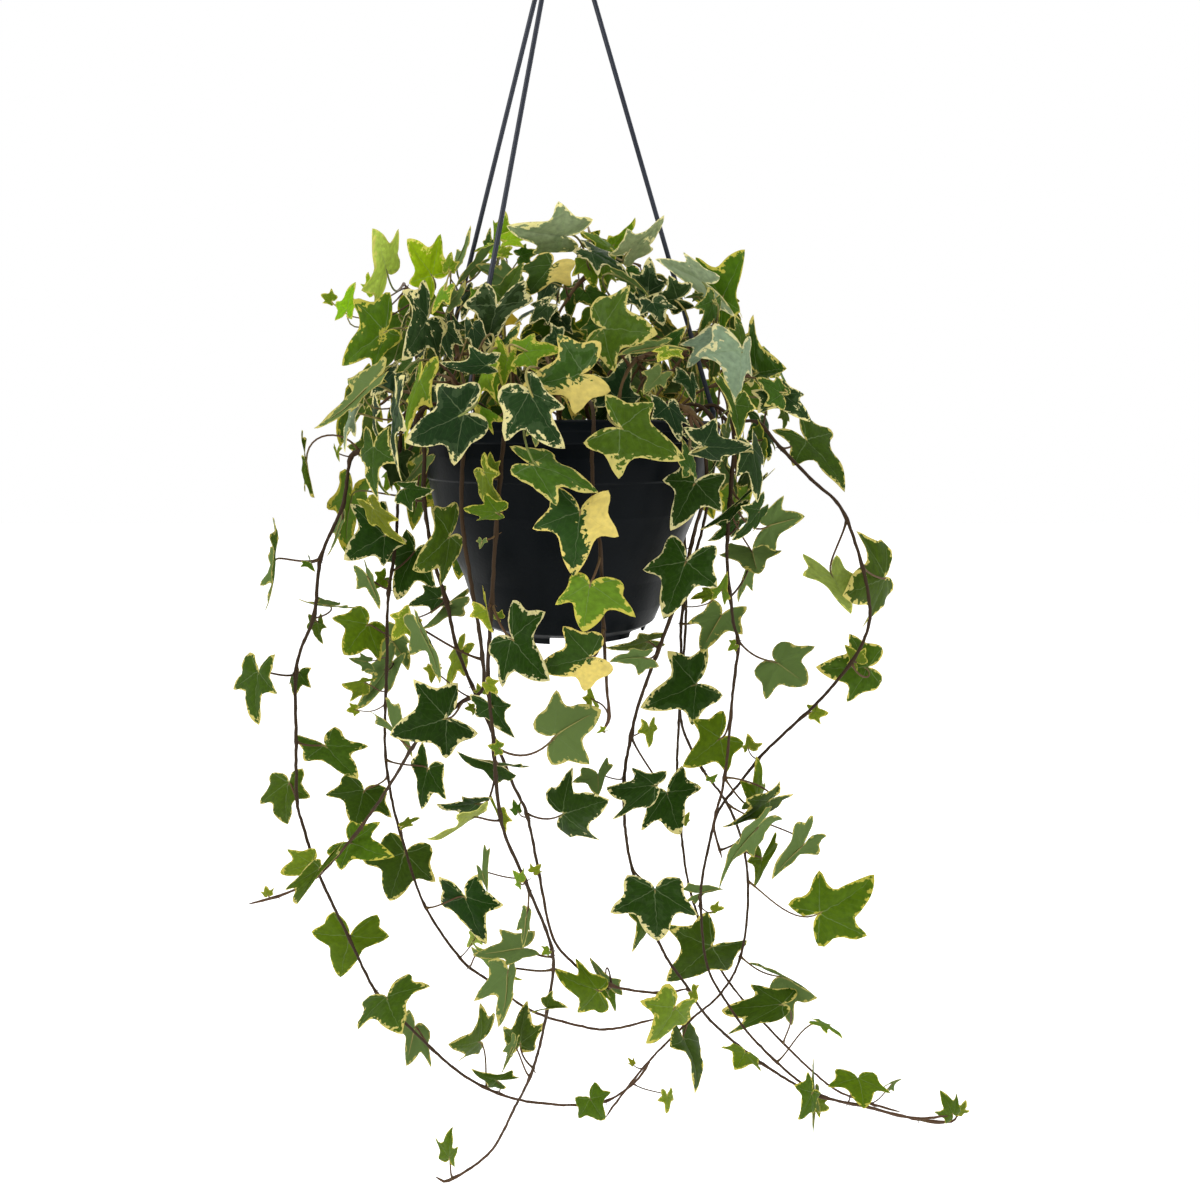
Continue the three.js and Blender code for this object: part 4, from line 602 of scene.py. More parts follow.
bow_centre = ROD_RADIUS - HOOK_RADIUS
hook_corners = [(0, 0, -SHANK - 4), (0, 0, 4 - SHANK), (-6, 0, bow_centre - HOOK_RADIUS - 1)]
for degrees in range(190, -41, -23):
    turn = radians(degrees)
    hook_corners.append((HOOK_RADIUS * math.cos(turn), 0, bow_centre + HOOK_RADIUS * math.sin(turn)))
hook_line = evenly(smooth_curve(hook_corners), 90)
hook_radii = np.full(91, ROD_RADIUS)
hook_radii[:12] = np.linspace(3.4, ROD_RADIUS, 12)
hook_radii[-4:] = ROD_RADIUS * np.array([0.98, 0.9, 0.72, 0.4])
hanger_parts = [tube(hook_line, hook_radii, 20)]

hub = [(0, 0), (5.4, 0), (6.6, 0.4), (8.2, 1.8), (8.5, 2.6), (8.5, 5.6), (8.1, 6.6)]
hub += [(5.6, 10.6), (5, 11.6)]
points, faces = turned([*hub, (4.4, HUB_HEIGHT), (0, HUB_HEIGHT)], 48)
hanger_parts.append((points + (0, 0, APEX_Z), faces))

PIN = [(0, -7.9), (0.8, -7.9), (1.2, -7.5), (2.2, -4.6), (2.3, -4.3), (2.3, -2.9), (1.4, -2.9)]
PIN_SHANK = [(1.4, 0.8), (2.1, 1.1), (2.1, 1.9), (1.5, 2.4), (1.4, PIN_TOP - 0.3), (0, PIN_TOP)]
for degrees in STRAND_ANGLES:
    seat = strand_seat(degrees)
    apex = np.array([seat[0], seat[1], 0])
    apex = apex / np.linalg.norm(apex) * 4 + (0, 0, APEX_Z + 2)
    foot_of_strand = seat + (0, 0, PIN_TOP - 2)
    shares = np.linspace(0, 1, 41)[:, None]
    line = apex + (foot_of_strand - apex) * shares
    radii = STRAND_RADIUS + 0.9 * np.exp(-shares[:, 0] * 30)
    hanger_parts.append(tube(line, radii, 12))
    points, faces = turned([*PIN, *PIN_SHANK], 20)
    hanger_parts.append((points + seat, faces))
points, faces = join_parts(hanger_parts)
hanger = link_mesh("moulded_hanger", points, faces, [hanger_plastic])
hanger.data.set_sharp_from_angle(angle=radians(48))
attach(hanger, "root")
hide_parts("hanger")
print("hanger of", len(hanger_parts), "parts in one moulding")

# %% [markdown]
# An ivy leaf has five lobes: a long one at the tip, one to each side and two short ones beside the
# stalk. Its half outline is drawn for a leaf of length 1, with the stalk at (0, 0) and the tip at
# (0, 1). Some leaves are full and rounded, most are starry, so there are two drawings and blends of
# them. Every leaf is such an outline, stretched between four real points: the stalk's end, the tip and
# the tips of the two side lobes. That gives each leaf its own tilt, fold and width.

# %% Leaf outline
SIDE_TIP = np.array([0.6, 0.4])
BESIDE_STALK = [(0, 0), (0.03, -0.13), (0.11, -0.25), (0.22, -0.305), (0.325, -0.27)]
BESIDE_STALK_STARRY = [(0, 0), (0.04, -0.1), (0.13, -0.2), (0.26, -0.27), (0.38, -0.3)]
TO_SIDE = [(0.325, -0.27), (0.395, -0.17), (0.415, -0.05), (0.425, 0.05), (0.475, 0.15), (0.555, 0.27)]
TO_SIDE_STARRY = [(0.38, -0.3), (0.42, -0.19), (0.4, -0.07), (0.4, 0.03), (0.45, 0.13), (0.54, 0.26)]
TO_TIP = [(0.52, 0.425), (0.4, 0.405), (0.295, 0.415), (0.245, 0.49), (0.225, 0.6), (0.185, 0.73)]
TO_TIP_STARRY = [(0.52, 0.41), (0.4, 0.38), (0.3, 0.395), (0.24, 0.47), (0.21, 0.58), (0.17, 0.72)]
LAST = [(0.12, 0.86), (0.05, 0.955), (0, 1)]
LAST_STARRY = [(0.105, 0.86), (0.045, 0.955), (0, 1)]
ROUNDED = [BESIDE_STALK, [*TO_SIDE, SIDE_TIP], [SIDE_TIP, *TO_TIP, *LAST]]
STARRY = [BESIDE_STALK_STARRY, [*TO_SIDE_STARRY, SIDE_TIP], [SIDE_TIP, *TO_TIP_STARRY, *LAST_STARRY]]
HUB = np.array([0.0, 0.12])


def half_rim(starry, counts):
    """The right half of the outline, with a point on every lobe's tip."""
    runs = []
    for rounded, starred, count in zip(ROUNDED, STARRY, counts):
        corners = (1 - starry) * np.array(rounded, float) + starry * np.array(starred, float)
        run = evenly(smooth_curve(np.column_stack([corners, np.zeros(len(corners))])), count)
        runs.append(run[1 if runs else 0 :, :2])
    return np.vstack(runs)


def leaf_grid(starry, counts, ring_shares):
    """A leaf of length 1 as a wheel of spokes and rings round a hub, with each point's gap to the rim."""
    half = half_rim(starry, counts)
    rim = np.vstack([half, half[-2:0:-1] * (-1, 1)])
    reach = np.linalg.norm(rim - HUB, axis=1)
    points, gaps = [HUB[None]], [[reach.mean()]]
    for share in ring_shares:
        points.append(HUB + (rim - HUB) * share)
        gaps.append(reach * (1 - share))
    count = len(rim)
    faces = [[0, 1 + (k + 1) % count, 1 + k] for k in range(count)]
    for ring in range(len(ring_shares) - 1):
        a, b = 1 + ring * count, 1 + (ring + 1) * count
        for k in range(count):
            n = (k + 1) % count
            faces.append([a + k, a + n, b + n, b + k])
    return {"flat": np.vstack(points), "gap": np.concatenate(gaps), "faces": faces, "count": count}


def nearest_edge(flat, rim):
    """The distance from each point of the leaf to the nearest stretch of its rim."""
    ends = np.roll(rim, -1, axis=0)
    along = ends - rim
    share = ((flat[:, None] - rim) * along).sum(2) / (along**2).sum(1)
    foot = rim + np.clip(share, 0, 1)[:, :, None] * along
    return np.linalg.norm(flat[:, None] - foot, axis=2).min(1)


STAR_SHARES = (0.1, 0.55, 0.9)
FINE_LEAVES = [leaf_grid(s, (6, 9, 15), (0.2, 0.4, 0.58, 0.74, 0.87, 0.95, 1.0)) for s in STAR_SHARES]
SMALL_LEAVES = [leaf_grid(s, (4, 6, 10), (0.3, 0.6, 0.83, 1.0)) for s in STAR_SHARES]
for grid in FINE_LEAVES + SMALL_LEAVES:
    grid["gap"] = nearest_edge(grid["flat"], grid["flat"][-grid["count"] :])
print("fine leaf of", len(FINE_LEAVES[0]["flat"]), "points, small leaf of", len(SMALL_LEAVES[0]["flat"]))

# %% [markdown]
# Five main veins fan out from the stalk, one into each lobe, and fine veins leave them at a slant.
# The pattern is worked out in the shader from the leaf's own flat coordinates, so it stays sharp close
# up. The leaf is the same on its left and right, which halves the sums: each vein is a line from the
# stalk, and a point's distance from that line gives the mask.

# %% Node group for the veins
VEINS = {"middle": (0.0, 1.0), "side": (0.832, 0.555), "basal": (0.78, -0.626)}
vein_group, source, target = new_group(
    "leaf veins", {"Flat": "Vector", "Seed": "Float"}, {"Main": "Float", "Fine": "Float"}
)
tree = vein_group
shifted = add_node(tree, "CombineXYZ", {2: source["Seed"]}).outputs[0]
spot = add_node(tree, "VectorMath", {0: source["Flat"], 1: shifted}, operation="ADD").outputs[0]
stray = add_node(tree, "TexNoise", {"Vector": spot, "Scale": 5.0, "Detail": 2.0}).outputs["Color"]
stray = add_node(tree, "VectorMath", {0: stray, 1: (0.5, 0.5, 0.5)}, operation="SUBTRACT").outputs[0]
stray = add_node(tree, "VectorMath", {0: stray, "Scale": 0.07}, operation="SCALE").outputs[0]
bent = add_node(tree, "VectorMath", {0: source["Flat"], 1: stray}, operation="ADD").outputs[0]
both = add_node(tree, "VectorMath", {0: bent}, operation="ABSOLUTE").outputs[0]
x_part = add_node(tree, "SeparateXYZ", {0: both}).outputs[0]
y_part = add_node(tree, "SeparateXYZ", {0: bent}).outputs[1]
place = add_node(tree, "CombineXYZ", {0: x_part, 1: y_part}).outputs[0]

aways, alongs, masks = [], [], []
for x, y in VEINS.values():
    along = add_node(tree, "VectorMath", {0: place, 1: (x, y, 0)}, operation="DOT_PRODUCT").outputs[1]
    away = add_node(tree, "VectorMath", {0: place, 1: (y, -x, 0)}, operation="DOT_PRODUCT").outputs[1]
    away = calc(tree, "ABSOLUTE", away)
    width = calc(tree, "MAXIMUM", calc(tree, "MULTIPLY_ADD", along, -0.011, 0.0115), 0.0035)
    line = calc(tree, "SUBTRACT!", 1.0, calc(tree, "DIVIDE", away, width))
    ahead = calc(tree, "GREATER_THAN", along, 0.0)
    masks.append(calc(tree, "MULTIPLY", line, ahead))
    aways.append(calc(tree, "ADD", away, calc(tree, "MULTIPLY", calc(tree, "LESS_THAN", along, 0.0), 9.0)))
    alongs.append(along)
main = calc(tree, "MAXIMUM", calc(tree, "MAXIMUM", *masks[:2]), masks[2])
tree.links.new(calc(tree, "POWER", main, 0.7), target["Main"])

FINE_SPACING = 0.105
fine_sum = None
for i in range(3):
    others = [aways[k] for k in range(3) if k != i]
    nearest = calc(tree, "LESS_THAN", aways[i], calc(tree, "MINIMUM", *others))
    slant = calc(tree, "MULTIPLY_ADD", aways[i], -1.15, alongs[i])
    step = calc(tree, "PINGPONG", calc(tree, "ADD", slant, 0.03), FINE_SPACING / 2)
    line = calc(tree, "SUBTRACT!", 1.0, calc(tree, "DIVIDE", step, 0.007))
    faded = calc(tree, "SUBTRACT!", 1.0, calc(tree, "MULTIPLY", aways[i], 3.2))
    one = calc(tree, "MULTIPLY", calc(tree, "MULTIPLY", line, faded), nearest)
    fine_sum = one if fine_sum is None else calc(tree, "ADD", fine_sum, one)
tree.links.new(fine_sum, target["Fine"])
print("vein group of", len(tree.nodes), "nodes")

# %% [markdown]
# Each leaf has a cream or yellow edge where the green stops short. Its inner border is ragged: in
# places there is hardly any cream, elsewhere it jumps in along the cells, and now and then it takes a
# whole lobe. Some leaves have one half without any green. Between edge and dark middle lies a zone of
# grey-green in patches. Noises make all this, shifted by the leaf's own number: a broad one for how
# deep the cream reaches, a fine one for the ragged border and one for the patches.

# %% Node group for the cream edge
edge_group, source, target = new_group(
    "cream edge",
    {"Flat": "Vector", **dict.fromkeys(("Gap", "Seed", "Width", "Sector", "Deep"), "Float")},
    {"Cream": "Float", "Grey": "Float", "Mottle": "Float"},
)
tree = edge_group
moved = calc(tree, "MULTIPLY", source["Seed"], 37.0)
shift = add_node(tree, "CombineXYZ", {0: moved, 1: moved, 2: moved}).outputs[0]
spot = add_node(tree, "VectorMath", {0: source["Flat"], 1: shift}, operation="ADD").outputs[0]
broad = add_node(tree, "TexNoise", {"Vector": spot, "Scale": 2.3, "Detail": 1.0}).outputs[0]
ragged = add_node(tree, "TexNoise", {"Vector": spot, "Scale": 13.0, "Detail": 2.0}).outputs[0]
patchy = add_node(tree, "TexNoise", {"Vector": spot, "Scale": 4.6, "Detail": 3.0}).outputs[0]
mottled = add_node(tree, "TexNoise", {"Vector": spot, "Scale": 11.0, "Detail": 4.0}).outputs[0]

deep = add_node(tree, "MapRange", {0: broad, 1: 0.56, 2: 0.76, 3: 0.0, 4: 1.0}).outputs[0]
deep = calc(tree, "MULTIPLY", calc(tree, "POWER", deep, 1.7), source["Deep"])
from_hub = add_node(tree, "VectorMath", {0: source["Flat"], 1: (*HUB, 0)}, operation="SUBTRACT").outputs[0]
from_hub = add_node(tree, "VectorMath", {0: from_hub, 1: (1, 1, 0)}, operation="MULTIPLY").outputs[0]
from_hub = add_node(tree, "VectorMath", {0: from_hub}, operation="LENGTH").outputs[1]
lobe_tip = add_node(tree, "MapRange", {0: from_hub, 1: 0.5, 2: 0.85}).outputs[0]
tip_share = add_node(tree, "MapRange", {0: patchy, 1: 0.4, 2: 0.6, 3: 0.0, 4: 2.2}).outputs[0]
reach = calc(tree, "MULTIPLY_ADD", deep, 5.5, calc(tree, "MULTIPLY_ADD", lobe_tip, tip_share, 0.9))
jag = add_node(tree, "MapRange", {0: ragged, 1: 0.36, 2: 0.66, 3: 0.05, 4: 2.1}).outputs[0]
border = calc(tree, "MULTIPLY", calc(tree, "MULTIPLY", reach, jag), source["Width"])
inward = calc(tree, "SUBTRACT", border, source["Gap"])
cream = add_node(tree, "MapRange", {0: inward, 1: -0.003, 2: 0.004}).outputs[0]

place = add_node(tree, "SeparateXYZ", {0: source["Flat"]}).outputs
beside = calc(tree, "MULTIPLY", place[0], calc(tree, "SIGN", source["Sector"]))
rising = calc(tree, "MULTIPLY", calc(tree, "MAXIMUM", calc(tree, "SUBTRACT", place[1], 0.25), 0.0), 0.5)
wander = add_node(tree, "MapRange", {0: ragged, 1: 0.3, 2: 0.7, 3: -0.1, 4: 0.1}).outputs[0]
past = calc(tree, "SUBTRACT", calc(tree, "SUBTRACT", beside, rising), calc(tree, "ADD", wander, 0.06))
sector = add_node(tree, "MapRange", {0: past, 1: -0.01, 2: 0.01}).outputs[0]
sector = calc(tree, "MULTIPLY!", sector, calc(tree, "ABSOLUTE", source["Sector"]))
tree.links.new(calc(tree, "MAXIMUM", cream, sector), target["Cream"])

zone = add_node(tree, "MapRange", {0: patchy, 1: 0.42, 2: 0.62, 3: 0.6, 4: 4.5}).outputs[0]
zone_border = calc(tree, "MULTIPLY", calc(tree, "MULTIPLY", zone, reach), source["Width"])
zone_inward = calc(tree, "SUBTRACT", calc(tree, "MULTIPLY", zone_border, 1.5), source["Gap"])
grey_zone = add_node(tree, "MapRange", {0: zone_inward, 1: -0.006, 2: 0.012}).outputs[0]
tree.links.new(grey_zone, target["Grey"])
tree.links.new(mottled, target["Mottle"])
print("edge group of", len(tree.nodes), "nodes")

# %% [markdown]
# The upper side of a leaf is leathery with a soft shine, darker in the middle, with pale sunken veins.
# The underside is paler and matt, and its veins stand out. Both let light through, so leaves against
# the light glow. A leaf is made as a thin closed sheet: one material for the upper skin, one for the
# underside. Each leaf's own green and edge colour are kept on its points and read by both.


# %% Leaf materials
def stored(tree, name):
    return add_node(tree, "Attribute", attribute_name=name).outputs


def leaf_skin(name, upper):
    material, tree, shader = new_material(name)
    flat = stored(tree, "leaf_flat")["Vector"]
    gap = add_node(tree, "SeparateXYZ", {0: flat}).outputs[2]
    facts = add_node(tree, "SeparateXYZ", {0: stored(tree, "leaf_facts")["Vector"]}).outputs
    seed, width, fade = facts[0], facts[1], facts[2]
    more = add_node(tree, "SeparateXYZ", {0: stored(tree, "leaf_half")["Vector"]}).outputs
    sector, greying, deep = more[0], more[1], more[2]
    veins = use_group(tree, vein_group, {"Flat": flat, "Seed": seed})
    known = {"Flat": flat, "Gap": gap, "Seed": seed, "Width": width, "Sector": sector, "Deep": deep}
    edge = use_group(tree, edge_group, known)
    green = stored(tree, "leaf_green")["Color"]
    margin = stored(tree, "leaf_margin")["Color"]

    greyed = blend_colors(tree, 0.5, green, paint(112, 134, 92))
    body = blend_colors(tree, calc(tree, "MULTIPLY", edge["Grey"], greying), green, greyed)
    light = calc(tree, "MULTIPLY_ADD", edge["Mottle"], 0.9, 0.55)
    body = add_node(tree, "HueSaturation", {"Color": body, "Value": light}).outputs[0]
    main_share = calc(tree, "MULTIPLY", veins["Main"], 0.36)
    vein_share = calc(tree, "MULTIPLY_ADD", veins["Fine"], 0.08, main_share)
    body = blend_colors(tree, vein_share, body, paint(146, 164, 118))
    if not upper:
        body = blend_colors(tree, fade, body, paint(112, 134, 78))
    flecked = calc(tree, "MULTIPLY_ADD", edge["Mottle"], 0.5, 0.72)
    margin = add_node(tree, "HueSaturation", {"Color": margin, "Value": flecked}).outputs[0]
    color = blend_colors(tree, edge["Cream"], body, margin)
    tree.links.new(color, shader.inputs["Base Color"])

    rough = calc(tree, "MULTIPLY_ADD", edge["Mottle"], 0.2, 0.44 if upper else 0.66)
    tree.links.new(rough, shader.inputs["Roughness"])
    shader.inputs["Specular IOR Level"].default_value = 0.1 if upper else 0.05
    raised = calc(tree, "MULTIPLY_ADD", veins["Fine"], 0.4, veins["Main"])
    pits = calc(tree, "MULTIPLY", edge["Mottle"], 0.35)
    height = calc(tree, "ADD", calc(tree, "MULTIPLY", raised, -1.0 if upper else 1.0), pits)
    bump = add_node(tree, "Bump", {"Strength": 0.5, "Distance": 0.0004, "Height": height})
    tree.links.new(bump.outputs[0], shader.inputs["Normal"])

    through = blend_colors(tree, 1.0, color, (1.0, 1.0, 0.5, 1.0), mode="MULTIPLY")
    through = add_node(tree, "HueSaturation", {"Color": through, "Value": 1.35})
    glow = add_node(tree, "BsdfTranslucent", {"Color": through.outputs[0]})
    mixed = add_node(tree, "MixShader", {0: 0.36, 1: shader.outputs[0], 2: glow.outputs[0]})
    tree.links.new(mixed.outputs[0], tree.nodes["Material Output"].inputs["Surface"])
    return material


leaf_top = leaf_skin("ivy leaf upper side", True)
leaf_back = leaf_skin("ivy leaf underside", False)
print("leaf materials:", leaf_top.name, "and", leaf_back.name)

# %% [markdown]
# Stems are thin and woody, dark purple-brown on the hanging vines and paler in the crown. Leaf stalks
# start red-brown at the stem and turn pale green at the blade. One material serves both: a value on
# each point says how old the wood is there, and a fine noise makes the age wander a little.

# %% Stem material
stem_bark, tree, shader = new_material("ivy stem")
age = add_node(tree, "SeparateXYZ", {0: stored(tree, "stem_facts")["Vector"]}).outputs
where = add_node(tree, "TexCoord").outputs["Object"]
grain = use_group(tree, grain_group, {"Place": where, "Scale": 220.0})
wander = calc(tree, "MULTIPLY_ADD", grain["Cloud"], 0.5, -0.25)
aged = calc(tree, "ADD!", age[0], wander)
young = blend_colors(tree, age[1], paint(108, 122, 62), paint(160, 146, 84))
old = blend_colors(tree, age[1], paint(52, 37, 20), paint(96, 76, 44))
middle_age = paint(84, 60, 40)
first = add_node(tree, "MapRange", {0: aged, 1: 0.15, 2: 0.5}).outputs[0]
second = add_node(tree, "MapRange", {0: aged, 1: 0.5, 2: 0.85}).outputs[0]
bark = blend_colors(tree, second, blend_colors(tree, first, young, middle_age), old)
tree.links.new(bark, shader.inputs["Base Color"])
shader.inputs["Roughness"].default_value = 0.6
shader.inputs["Specular IOR Level"].default_value = 0.15
bump = add_node(tree, "Bump", {"Strength": 0.6, "Distance": 0.0004, "Height": grain["Height"]})
tree.links.new(bump.outputs[0], shader.inputs["Normal"])
print("stem material:", stem_bark.name)
